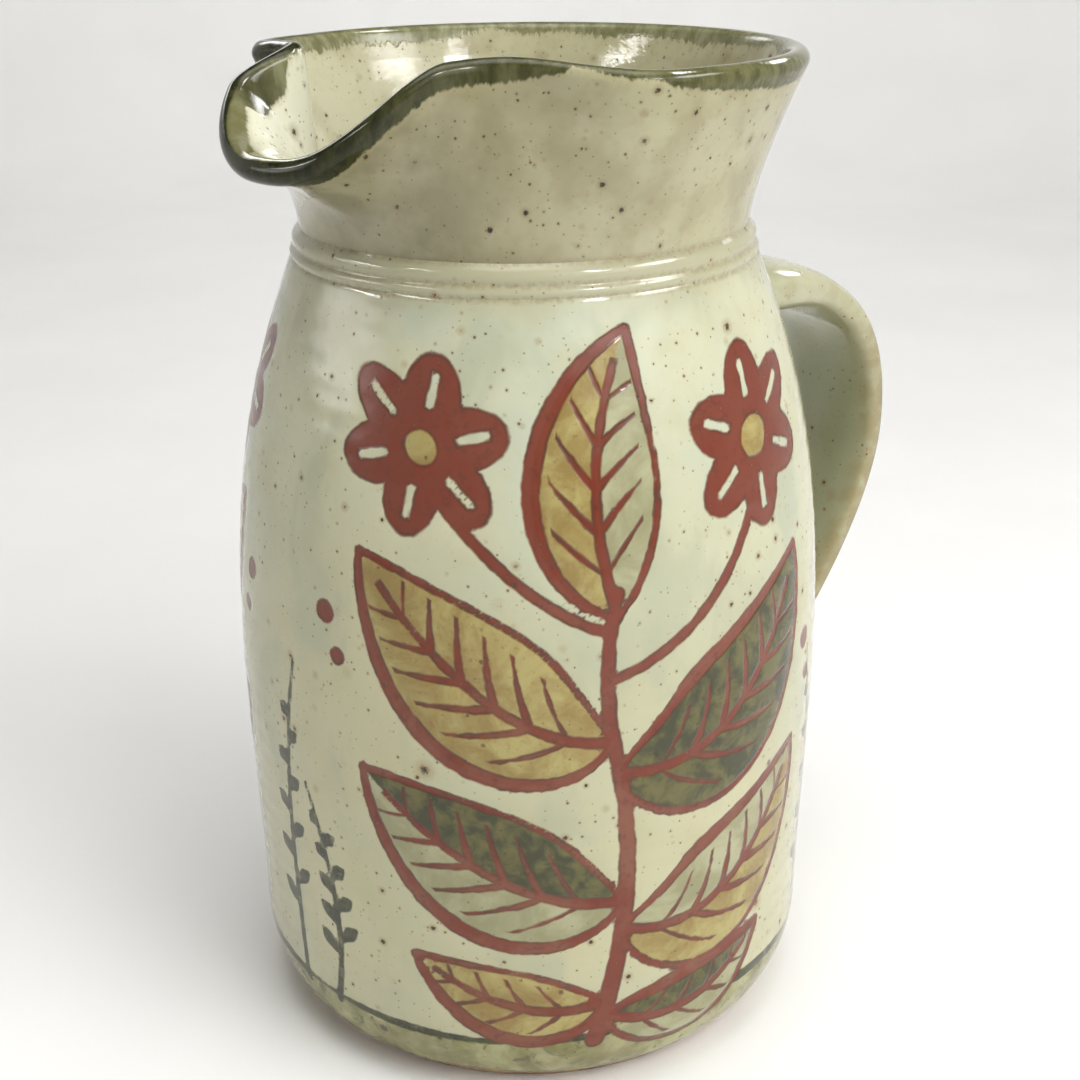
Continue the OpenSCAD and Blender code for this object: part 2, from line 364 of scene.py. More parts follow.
    def under_liner(self, pitch: float) -> np.ndarray:
        """The clay under the inside glaze.

        Args:
            pitch: Spacing of the points.

        Returns:
            Points in (radius, height), from the middle of the floor to the tooled line.
        """
        line = evenly(self.hollow(), pitch)
        line[1:, 0] += self.coat_t
        line[:, 1] -= self.coat_t * (line[:, 1] < self.floor_t + self.floor_reach)
        return line

    def radius_at(self, z: np.ndarray) -> np.ndarray:
        """Radius of the glazed body at a height."""
        line = self.outline()
        return np.interp(z, line[:, 1], line[:, 0])

    def beak(self, a: np.ndarray) -> np.ndarray:
        """How far the spout's round edge reaches past the lip's circle.

        Args:
            a: Angles from the spout's tip, in degrees.

        Returns:
            The reach, which runs out smoothly beside the spout.
        """
        centre = self.lip_d / 2 + self.spout_reach - self.beak_round
        q = np.radians(np.clip(a - self.beak_turn, -self.beak_half, self.beak_half))
        half = np.sqrt(np.maximum(self.beak_round**2 - (centre * np.sin(q)) ** 2, 0))
        over = centre * np.cos(q) + half - self.lip_d / 2
        return self.beak_blend * np.log1p(np.exp(over / self.beak_blend))

    def tip(self, a: np.ndarray) -> np.ndarray:
        """Share of the spout's form at angles from its tip in degrees."""
        return swell((a - self.spout_turn) / self.spout_half)

    def neck_curve(self, a: np.ndarray) -> list[np.ndarray]:
        """The middle of the neck's wall.

        Args:
            a: Angles from the spout's tip, in degrees.

        Returns:
            Four arrays of control points in (radius, height).
        """
        tip = self.tip(a)
        pinch = swell((a - self.pinch_angle) / self.pinch_half)
        notch = swell((a - self.notch_angle) / self.notch_half)
        ear = swell((a - self.ear_angle) / self.ear_half)
        lip_r = self.lip_d / 2 + self.beak(a) - self.pinch_depth * pinch
        lip_r += self.ear_out * ear - self.notch_depth * notch
        off = a - self.spout_turn
        near = np.clip(off / self.drop_near, 0, 1) ** self.drop_power
        fall = 0.5 + 0.5 * np.cos(np.pi * np.where(off > 0, near, np.clip(off / self.drop_far, -1, 0)))
        lip_z = self.jug_h - self.neck_t / 2 - self.spout_drop * fall
        lip_z += self.pinch_rise * pinch + self.notch_rise * notch
        lean = self.lip_lean + (self.spout_lean - self.lip_lean) * tip
        lean = np.radians(lean - self.pinch_turn * pinch - self.notch_turn * notch)
        upright = self.neck_upright + (self.spout_upright - self.neck_upright) * tip
        run = self.lip_run + (self.spout_run - self.lip_run) * tip
        foot_r = np.full_like(a, self.neck_d / 2)
        lip = np.stack([lip_r, lip_z], -1)
        return [
            np.stack([foot_r, np.full_like(a, self.body_h)], -1),
            np.stack([foot_r, self.body_h + upright], -1),
            lip - run[:, None] * np.stack([np.sin(lean), np.cos(lean)], -1),
            lip,
        ]

    def slant(self, a: np.ndarray) -> np.ndarray:
        """How much longer the way through the wall is, away from the axis, where the lip runs in or out.

        Args:
            a: Angles from the spout's tip, in degrees.

        Returns:
            The length as a share of the wall's thickness, 1 or more.
        """
        ahead, behind = (self.neck_curve(a + turn)[3][:, 0] for turn in (self.slope_turn, -self.slope_turn))
        slope = (ahead - behind) / (math.radians(2 * self.slope_turn) * self.lip_d / 2)
        return np.sqrt(1 + np.minimum(slope**2, self.slope_most))

    def pull(self, points: np.ndarray) -> np.ndarray:
        """Bends the straight collar of a turned mesh into the flared neck with its spout.

        Args:
            points: Points of the mesh, of shape (n, 3).

        Returns:
            The points, those above the tooled line moved.
        """
        out = points.copy()
        high = points[:, 2] > self.body_h + TINY
        x, y, z = points[high].T
        angle = np.arctan2(-y, -x)
        degrees = np.degrees(angle)
        curve = self.neck_curve(degrees)
        t = np.clip((z - self.body_h) / self.neck_h, 0, 1)
        along = bezier_slope(curve, t)
        aside = np.stack([along[:, 1], -along[:, 0]], -1)
        swollen = self.slant(degrees) - 1 + self.tip_swell * self.tip(degrees)
        beside = (np.hypot(x, y) - self.neck_d / 2) * (1 + swollen * t**2)
        beyond = np.maximum(0, z - self.jug_h)
        r, z = (bezier(curve, t) + beside[:, None] * aside + beyond[:, None] * along).T
        out[high] = np.stack([-r * np.cos(angle), -r * np.sin(angle), z], -1)
        return out


def turned(profile: np.ndarray, columns: int) -> Mesh:
    """Turns a line around the jug's axis.

    Args:
        profile: Points in (radius, height); a line that doesn't begin on the axis is closed first.
        columns: Steps of the turn, made as equal sectors that are copied round.

    Returns:
        The mesh, in the profile's unit.
    """
    bm = bmesh.new()
    verts = [bm.verts.new((-r, 0, z)) for r, z in profile]
    edges = [bm.edges.new(pair) for pair in zip(verts[:-1], verts[1:])]
    if profile[0, 0] > TINY:
        edges.append(bm.edges.new((verts[-1], verts[0])))
    part = 2 * math.pi / SECTORS
    bmesh.ops.spin(
        bm,
        geom=verts + edges,
        cent=(0, 0, 0),
        axis=(0, 0, 1),
        dvec=(0, 0, 0),
        angle=part,
        steps=columns // SECTORS,
        use_merge=False,
    )
    sector = bm.verts[:] + bm.edges[:] + bm.faces[:]
    for k in range(1, SECTORS):
        copy = bmesh.ops.duplicate(bm, geom=sector)["geom"]
        moved = [v for v in copy if isinstance(v, bmesh.types.BMVert)]
        bmesh.ops.rotate(bm, verts=moved, cent=(0, 0, 0), matrix=Matrix.Rotation(k * part, 3, "Z"))
    bmesh.ops.remove_doubles(bm, verts=bm.verts, dist=WELD)
    bmesh.ops.recalc_face_normals(bm, faces=bm.faces)
    return bm


def corners(bm: Mesh) -> np.ndarray:
    """Places of a mesh's vertices, of shape (n, 3)."""
    return np.array([v.co for v in bm.verts])


def move_corners(bm: Mesh, places: np.ndarray) -> None:
    """Puts a mesh's vertices at new places."""
    for v, p in zip(bm.verts, places):
        v.co = p


def as_piece(name: str, bm: Mesh, crisp: float = 40.0) -> Piece:
    """Makes a piece of a mesh in millimetres.

    Args:
        name: Name of the piece.
        bm: The mesh, which is freed.
        crisp: Angle in degrees above which an edge stays sharp.

    Returns:
        The object, linked to the scene.
    """
    bmesh.ops.transform(bm, matrix=Matrix.Scale(MM, 4), verts=bm.verts)
    mesh = bpy.data.meshes.new(name)
    bm.to_mesh(mesh)
    bm.free()
    mesh.shade_smooth()
    mesh.set_sharp_from_angle(angle=math.radians(crisp))
    piece = bpy.data.objects.new(name, mesh)
    bpy.context.scene.collection.objects.link(piece)
    return piece


def give(piece: Piece, name: str, values: np.ndarray) -> None:
    """Stores a number for each vertex of a piece, for its material to read."""
    field = piece.data.attributes.new(name, "FLOAT", "POINT")
    field.data.foreach_set("value", np.ascontiguousarray(values, np.float32))


def seat(piece: Piece, node: str, material: Material) -> None:
    """Sets a piece in the frame in place of a solid, and dresses it.

    Args:
        piece: The piece.
        node: The solid that it stands for.
        material: Its finish.
    """
    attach(piece, "root")
    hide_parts(node)
    piece.data.materials.append(material)
    LOG.info("%s: %d faces, for %s", piece.name, len(piece.data.polygons), node)


class Paint(Enum):
    """Colours of the painted sprays, in the order in which they are laid."""

    WASH = "wash"
    CELADON = "celadon"
    OCHRE = "ochre"
    OLIVE = "olive"
    DARK = "dark"
    RUST = "rust"


class Vein(Enum):
    """What is known of the leaves' side veins: the place along the leaf, and how far past their reach."""

    RANK = "vein_rank"
    REACH = "vein_reach"


Field = dict[Paint | Vein, np.ndarray]


@dataclass(frozen=True)
class Stroke:
    """A brush line along a path of points."""

    path: np.ndarray

    @property
    def length(self) -> float:
        """Length of the path."""
        return float(run_of(self.path)[-1])

    def near(self, x: np.ndarray, y: np.ndarray) -> tuple[np.ndarray, np.ndarray, np.ndarray]:
        """Measures places against the path.

        Args:
            x: Places across.
            y: Places up.

        Returns:
            Distance to the path, length along it, and the side, -1 or 1.
        """
        best = np.full(x.shape, np.inf)
        along = np.zeros(x.shape)
        side = np.ones(x.shape)
        run = run_of(self.path)
        for i, (p, q) in enumerate(zip(self.path[:-1], self.path[1:])):
            d = q - p
            size = float(np.hypot(*d))
            u = np.clip(((x - p[0]) * d[0] + (y - p[1]) * d[1]) / size**2, 0, 1)
            away = np.hypot(x - p[0] - u * d[0], y - p[1] - u * d[1])
            nearer = away < best
            best = np.where(nearer, away, best)
            along = np.where(nearer, run[i] + u * size, along)
            across = d[0] * (y - p[1]) - d[1] * (x - p[0])
            side = np.where(nearer, np.where(across >= 0, 1.0, -1.0), side)
        return best, along, side


def bent(a: Point, b: Point, c: Point, count: int = 28) -> np.ndarray:
    """Points of a curve from a to c that bends towards b."""
    t = np.linspace(0, 1, count)[:, None]
    return (1 - t) ** 2 * np.asarray(a) + 2 * t * (1 - t) * np.asarray(b) + t * t * np.asarray(c)


def lay(field: Field, paint: Paint, distance: np.ndarray) -> None:
    """Adds a shape to a paint's field of signed distances."""
    field[paint] = np.minimum(field[paint], distance)


@dataclass(frozen=True)
class Leaf:
    """A bent leaf with a rust outline, a midrib, side veins and two glazed halves."""

    root: Point
    bend: Point
    tip: Point
    half: float
    left: Paint
    right: Paint
    fullness: float = 0.82
    bluntness: float = 0.8
    line: float = 1.5
    press: float = 0.95
    press_swing: float = 0.4
    midrib: float = 1.5
    midrib_taper: float = 0.7
    midrib_end: float = 0.9
    vein_slope: float = 1.1
    vein_scale: float = 0.67
    vein_width: float = 0.74
    vein_first: float = 0.06
    vein_last: float = 0.82

    def paint(self, field: Field, x: np.ndarray, y: np.ndarray) -> None:
        """Lays the leaf into the fields.

        Args:
            field: The fields of all paints.
            x: Places across.
            y: Places up.
        """
        spine = Stroke(bent(self.root, self.bend, self.tip))
        away, along, side = spine.near(x, y)
        t = np.clip(along / spine.length, 0, 1)
        width = self.half * np.sin(np.pi * t**self.fullness) ** self.bluntness
        inside = away - width
        for paint, face in ((self.left, 1.0), (self.right, -1.0)):
            lay(field, paint, np.maximum(inside, -face * side * away))
        press = self.press + self.press_swing * side * np.sin(np.pi * t)
        lay(field, Paint.RUST, np.abs(inside) - self.line * press)
        rib = away - self.midrib + self.midrib_taper * t
        lay(field, Paint.RUST, np.maximum(rib, along - self.midrib_end * spine.length))
        rank = (along - self.vein_slope * away) * self.vein_scale
        span = spine.length * self.vein_scale
        ends = (self.vein_first * span - rank, rank - self.vein_last * span)
        reach = np.maximum.reduce([away - self.vein_width * width, *ends])
        nearer = reach < field[Vein.REACH]
        for mark, values in ((Vein.RANK, rank), (Vein.REACH, reach)):
            field[mark] = np.where(nearer, values, field[mark])


@dataclass(frozen=True)
class Blossom:
    """A round blossom of solid rust petals about an ochre eye; petal sizes are shares of its reach."""

    centre: Point
    reach: float
    turn: float
    eye: float = 4.2
    petals: int = 6
    petal_at: float = 0.52
    petal_long: float = 0.5
    petal_wide: float = 0.33
    scratch_at: float = 0.62
    scratch_long: float = 0.2
    scratch_half: float = 0.95
    ring_gap: float = 0.6
    ring_half: float = 1.2

    def paint(self, field: Field, x: np.ndarray, y: np.ndarray) -> None:
        """Lays the blossom into the fields.

        Args:
            field: The fields of all paints.
            x: Places across.
            y: Places up.
        """
        dx, dy = x - self.centre[0], y - self.centre[1]
        far = np.hypot(dx, dy)
        flesh = np.full(x.shape, FAR)
        long, wide = self.reach * self.petal_long, self.reach * self.petal_wide
        for k in range(self.petals):
            q = math.radians(self.turn) + 2 * math.pi * k / self.petals
            u = dx * math.cos(q) + dy * math.sin(q)
            v = -dx * math.sin(q) + dy * math.cos(q)
            petal = (np.hypot((u - self.reach * self.petal_at) / long, v / wide) - 1) * wide
            past = np.abs(u - self.reach * self.scratch_at) - self.reach * self.scratch_long
            scratch = np.maximum(np.abs(v) - self.scratch_half, past)
            flesh = np.minimum(flesh, np.maximum(petal, -scratch))
        lay(field, Paint.RUST, np.maximum(flesh, self.eye - far))
        lay(field, Paint.RUST, np.abs(far - self.eye - self.ring_gap) - self.ring_half)
        lay(field, Paint.OCHRE, far - self.eye)


@dataclass(frozen=True)
class Spray:
    """A tall flowering spray, drawn from the foot to the shoulder."""

    centre: float
    mirrored: bool = False
    stalk_half: float = 2.4
    stalk_taper: float = 140.0
    stem_half: float = 1.3
    leaves: tuple[Leaf, ...] = (
        Leaf((2, 128), (-8, 160), (7, 187), 14.0, Paint.OCHRE, Paint.CELADON),
        Leaf((0, 98), (-26, 98), (-56, 140), 17.0, Paint.OCHRE, Paint.OCHRE),
        Leaf((2, 90), (36, 84), (57, 131), 17.5, Paint.OLIVE, Paint.OLIVE),
        Leaf((3, 56), (-22, 54), (-58, 88), 16.5, Paint.CELADON, Paint.OLIVE),
        Leaf((4, 48), (34, 38), (59, 80), 16.5, Paint.CELADON, Paint.OCHRE),
        Leaf((-1, 28), (-20, 22), (-46, 40), 9.5, Paint.OCHRE, Paint.OCHRE),
        Leaf((0, 24), (22, 14), (46, 34), 9.0, Paint.OLIVE, Paint.CELADON),
    )
    stems: tuple[tuple[Point, Point, Point], ...] = (
        ((0, 124), (-17, 130), (-35, 152)),
        ((1, 113), (27, 121), (39, 146)),
    )
    blossoms: tuple[Blossom, ...] = (Blossom((-39, 164), 19.5, 12), Blossom((41, 160), 20.5, 40, 5.2))
    berries: tuple[Triple, ...] = ((-67, 124, 2.8), (-64, 114, 2.2), (66, 104, 2.8), (69, 94, 2.2))

    def paint(self, field: Field, x: np.ndarray, y: np.ndarray) -> None:
        """Lays the spray into the fields.

        Args:
            field: The fields of all paints.
            x: Places across.
            y: Places up.
        """
        if self.mirrored:
            x = -x
        stalk = np.concatenate([bent((-3, 17), (9, 55), (2, 92)), bent((2, 92), (-3, 113), (2, 133))[1:]])
        away, along, _ = Stroke(stalk).near(x, y)
        lay(field, Paint.RUST, away - self.stalk_half + along / self.stalk_taper)
        for leaf in self.leaves:
            leaf.paint(field, x, y)
        for stem in self.stems:
            away, _, _ = Stroke(bent(*stem)).near(x, y)
            lay(field, Paint.RUST, away - self.stem_half)
        for blossom in self.blossoms:
            blossom.paint(field, x, y)
        for bx, by, size in self.berries:
            lay(field, Paint.RUST, np.hypot(x - bx, y - by) - size)


@dataclass(frozen=True)
class Twig:
    """A thin dark twig with drop-shaped buds."""

    centre: float
    height: float
    lean: float
    foot: float = 17.0
    half: float = 1.15
    taper: float = 0.55
    buds: int = 9
    bud_first: int = 6
    bud_every: int = 2
    bud_reach: float = 6.5
    bud_less: float = 0.4
    bud_bend: Point = (2.0, 3.0)
    bud_stem: float = 0.4
    bud_half: float = 1.6
    bud_round: float = 1.6

    def paint(self, field: Field, x: np.ndarray, y: np.ndarray) -> None:
        """Lays the twig into the fields.

        Args:
            field: The fields of all paints.
            x: Places across.
            y: Places up.
        """
        top = (self.lean, self.foot + self.height)
        stem = Stroke(bent((0, self.foot), (-self.lean, self.foot + self.height * 0.5), top))
        away, along, _ = stem.near(x, y)
        lay(field, Paint.DARK, away - self.half + self.taper * along / stem.length)
        for k in range(self.buds):
            at = stem.path[self.bud_first + self.bud_every * k]
            face = 1 if k % 2 else -1
            reach = self.bud_reach - self.bud_less * k
            bend = (at[0] + face * self.bud_bend[0], at[1] + self.bud_bend[1])
            bud = Stroke(bent(tuple(at), bend, (at[0] + face * reach, at[1] + reach)))
            away, along, _ = bud.near(x, y)
            share = np.clip(along / bud.length, 0, 1)
            drop = self.bud_half * np.sin(np.pi * share**self.bud_round)
            lay(field, Paint.DARK, away - self.bud_stem - drop)


@dataclass(frozen=True)
class Decoration:
    """All that is painted on the body."""

    sprays: tuple[Spray, ...] = (Spray(-114.0), Spray(114.0, True))
    twigs: tuple[Twig, ...] = (
        Twig(180.0, 92.0, 5.0),
        Twig(-170.0, 60.0, -6.0),
        Twig(-56.0, 84.0, -5.0),
        Twig(-47.0, 56.0, 5.0),
        Twig(56.0, 84.0, 5.0),
        Twig(47.0, 56.0, -5.0),
    )
    motif_half: float = 78.0
    band_z: float = 19.0
    band_swing: float = 4.0
    band_turns: int = 2
    band_seed: int = 5
    band_half: float = 1.0
    press: float = 0.6
    press_swing: float = 0.8
    press_turns: int = 3
    press_seed: int = 8

    def measure(self, points: np.ndarray) -> Field:
        """Measures how far points of the body lie from each paint.

        Args:
            points: Points of the body's surface, of shape (n, 3).

        Returns:
            Signed distances for each paint, below 0 where the paint is.
        """
        x, y, z = points.T
        r, angle = np.hypot(x, y), np.arctan2(y, x)
        marks = (*Paint, *Vein)
        total = {mark: np.full(len(points), FAR) for mark in marks}
        for motif in (*self.sprays, *self.twigs):
            turn = angle - math.radians(motif.centre)
            across = r * ((turn + np.pi) % (2 * np.pi) - np.pi)
            close = np.abs(across) < self.motif_half
            part = {mark: total[mark][close] for mark in marks}
            motif.paint(part, across[close], z[close])
            for mark in marks:
                total[mark][close] = part[mark]
        wave = self.band_z + self.band_swing * (ripple(angle * self.band_turns, 0.0, self.band_seed) - 0.5)
        press = ripple(angle * self.press_turns, 0.0, self.press_seed)
        half = self.band_half * (self.press + self.press_swing * press)
        leaf = np.minimum.reduce([total[paint] for paint in (Paint.CELADON, Paint.OCHRE, Paint.OLIVE)])
        lay(total, Paint.DARK, np.maximum(np.abs(z - wave) - half, -leaf))
        lay(total, Paint.WASH, z - wave)
        return total


@dataclass(frozen=True)
class Patches:
    """Uneven patches: a noise with lumps of a size in millimetres, and what its range gives."""

    size: float
    low: float = 0.0
    high: float = 1.0
    least: float = 0.0
    most: float = 1.0
    detail: float = 3.0
    rough: float = 0.55
    shift: Triple = (0, 0, 0)
    stretch: Triple = (1, 1, 1)
    warp: float = 0.0


@dataclass(frozen=True)
class Specks:
    """Iron specks of many sizes: the room of each, the largest radius, an offset, and their strength."""

    cell: float
    size: float
    shift: float
    share: float = 1.0
    smallest: float = 0.35
    ragged: float = 0.9
    rags: Patches = Patches(0.5, detail=2)
    core: Range = (1.1, 0.55)
    halo: Range = (2.4, 0.7)


class Graph:
    """The nodes of one material; places are read from Object coordinates, in millimetres."""

    def __init__(self, name: str) -> None:
        """Starts a material with a shader and its output.

        Args:
            name: Name of the material.
        """
        self.material = bpy.data.materials.new(name)
        self.material.use_nodes = True
        self.tree = self.material.node_tree
        self.shader = self.tree.nodes["Principled BSDF"]
        place = self.add("ShaderNodeTexCoord").outputs["Object"]
        self.place = self.scaled(place, (1 / MM, 1 / MM, 1 / MM))

    def add(self, kind: str, **settings: object) -> bpy.types.Node:
        """Adds a node.

        Args:
            kind: The node's type.
            **settings: Its properties.

        Returns:
            The node.
        """
        node = self.tree.nodes.new(kind)
        for key, value in settings.items():
            setattr(node, key, value)
        return node

    def put(self, socket: Socket, value: Value) -> None:
        """Links a socket to another, or sets its value.

        Args:
            socket: The socket.
            value: Another node's output, a number or a colour.
        """
        if isinstance(value, Socket):
            self.tree.links.new(value, socket)
        elif isinstance(value, tuple) and len(value) == 3 and socket.type == "RGBA":
            socket.default_value = (*value, 1.0)
        else:
            socket.default_value = value

    def scaled(self, vector: Socket, by: Triple, shift: Triple = (0, 0, 0)) -> Socket:
        """Scales and shifts a vector.

        Args:
            vector: The vector.
            by: Scale of each axis.
            shift: What is added after that.

        Returns:
            The new vector.
        """
        node = self.add("ShaderNodeMapping")
        self.put(node.inputs["Vector"], vector)
        node.inputs["Scale"].default_value = by
        node.inputs["Location"].default_value = shift
        return node.outputs[0]

    def math(self, kind: str, a: Value, b: Value = 0.0) -> Socket:
        """Joins two numbers.

        Args:
            kind: The operation.
            a: First number.
            b: Second number, where the operation has one.

        Returns:
            The result.
        """
        node = self.add("ShaderNodeMath", operation=kind)
        self.put(node.inputs[0], a)
        self.put(node.inputs[1], b)
        return node.outputs[0]

    def times(self, a: Value, b: Value) -> Socket:
        """The product of two numbers."""
        return self.math("MULTIPLY", a, b)

    def plus(self, a: Value, b: Value) -> Socket:
        """The sum of two numbers."""
        return self.math("ADD", a, b)

    def minus(self, a: Value, b: Value) -> Socket:
        """The difference of two numbers."""
        return self.math("SUBTRACT", a, b)

    def largest(self, parts: Sequence[Socket]) -> Socket:
        """The largest of some numbers."""
        return reduce(lambda a, b: self.math("MAXIMUM", a, b), parts)

    def span(self, value: Value, low: Value, high: Value, to: tuple[Value, Value] = (0.0, 1.0)) -> Socket:
        """Takes a number from one range to another, smoothly and within its ends.

        Args:
            value: The number.
            low: Start of its range.
            high: End of its range.
            to: What the ends become.

        Returns:
            The new number.
        """
        node = self.add("ShaderNodeMapRange", interpolation_type="SMOOTHSTEP")
        for socket, v in zip(node.inputs[:5], (value, low, high, *to)):
            self.put(socket, v)
        return node.outputs[0]

    def mix(self, share: Value, a: Value, b: Value) -> Socket:
        """Mixes two colours.

        Args:
            share: Share of the second, 0 to 1.
            a: First colour.
            b: Second colour.

        Returns:
            The colour between them.
        """
        node = self.add("ShaderNodeMix", data_type="RGBA")
        for k, v in ((0, share), (6, a), (7, b)):
            self.put(node.inputs[k], v)
        return node.outputs[2]

    def read(self, name: str) -> Socket:
        """A number stored at the piece's vertices."""
        return self.add("ShaderNodeAttribute", attribute_name=name).outputs["Fac"]

    def height(self) -> Socket:
        """Height above the table.

        Returns:
            The height, in millimetres.
        """
        node = self.add("ShaderNodeSeparateXYZ")
        self.put(node.inputs[0], self.place)
        return node.outputs[2]

    def noise(self, p: Patches) -> Socket:
        """The bare noise of some patches.

        Args:
            p: The patches.

        Returns:
            The noise's factor.
        """
        node = self.add("ShaderNodeTexNoise")
        self.put(node.inputs["Vector"], self.scaled(self.place, p.stretch, p.shift))
        values = {"Scale": 1 / p.size, "Detail": p.detail, "Roughness": p.rough, "Distortion": p.warp}
        for key, value in values.items():
            node.inputs[key].default_value = value
        return node.outputs[0]

    def patches(self, p: Patches, ends: tuple[Value, Value] | None = None) -> Socket:
        """Uneven patches, between their own ends or others."""
        return self.span(self.noise(p), p.low, p.high, ends or (p.least, p.most))

    def sway(self, p: Patches, amount: float) -> Socket:
        """The noise of some patches about 0, times an amount."""
        return self.times(self.minus(self.noise(p), 0.5), amount)

    def specks(self, s: Specks, room: float = 1.0) -> tuple[Socket, Socket]:
        """Lays one layer of specks.

        Args:
            s: The specks.
            room: Scale of the room that each has.

        Returns:
            The masks of the specks and of their halos.
        """
        node = self.add("ShaderNodeTexVoronoi")
        cell = s.cell * room
        self.put(node.inputs["Vector"], self.scaled(self.place, (1, 1, 1), (s.shift, s.shift, s.shift)))
        node.inputs["Scale"].default_value = 1 / cell
        draw = self.add("ShaderNodeSeparateColor")
        self.put(draw.inputs[0], node.outputs["Color"])
        radius = self.span(draw.outputs[0], 0.0, 1.0, (s.size * s.smallest, s.size))
        away = self.plus(self.times(node.outputs["Distance"], cell), self.sway(s.rags, s.size * s.ragged))
        near = self.math("DIVIDE", away, radius)
        return self.span(near, *s.core), self.span(near, *s.halo)

    def bump(self, height: Value, depth: float, normal: Value | None = None) -> Socket:
        """Raises a surface.

        Args:
            height: The height, 0 to 1.
            depth: What a height of 1 is in millimetres.
            normal: The surface under it, where that is already uneven.

        Returns:
            The normal.
        """
        node = self.add("ShaderNodeBump")
        node.inputs["Distance"].default_value = depth * MM
        self.put(node.inputs["Height"], height)
        if normal is not None:
            self.put(node.inputs["Normal"], normal)
        return node.outputs[0]

    def finish(self, colour: Value, rough: Value, normal: Value, mirror: float = 0.5) -> Material:
        """Wires the shader.

        Args:
            colour: Its colour.
            rough: Its roughness.
            normal: Its normal.
            mirror: Its specular level.

        Returns:
            The material.
        """
        self.shader.inputs["Specular IOR Level"].default_value = mirror
        for name, value in {"Base Color": colour, "Roughness": rough, "Normal": normal}.items():
            self.put(self.shader.inputs[name], value)
        return self.material


@dataclass(frozen=True)
class GlazeTones:
    """Colours of a pale glaze over speckled stoneware."""

    pale: Colour = (0.575, 0.57, 0.40)
    cool: Colour = (0.495, 0.525, 0.395)
    warm: Colour = (0.465, 0.43, 0.245)
    mist: Colour = (0.37, 0.395, 0.285)
    # brown of toasted glaze, also standing in as painted shade at the foot
    toast_and_shade: Colour = (0.36, 0.265, 0.115)
    meet: Colour = (0.425, 0.405, 0.265)
    groove: Colour = (0.31, 0.265, 0.155)
    freckle: Colour = (0.22, 0.125, 0.045)
    speck: Colour = (0.045, 0.028, 0.014)
    halo: Colour = (0.30, 0.17, 0.055)


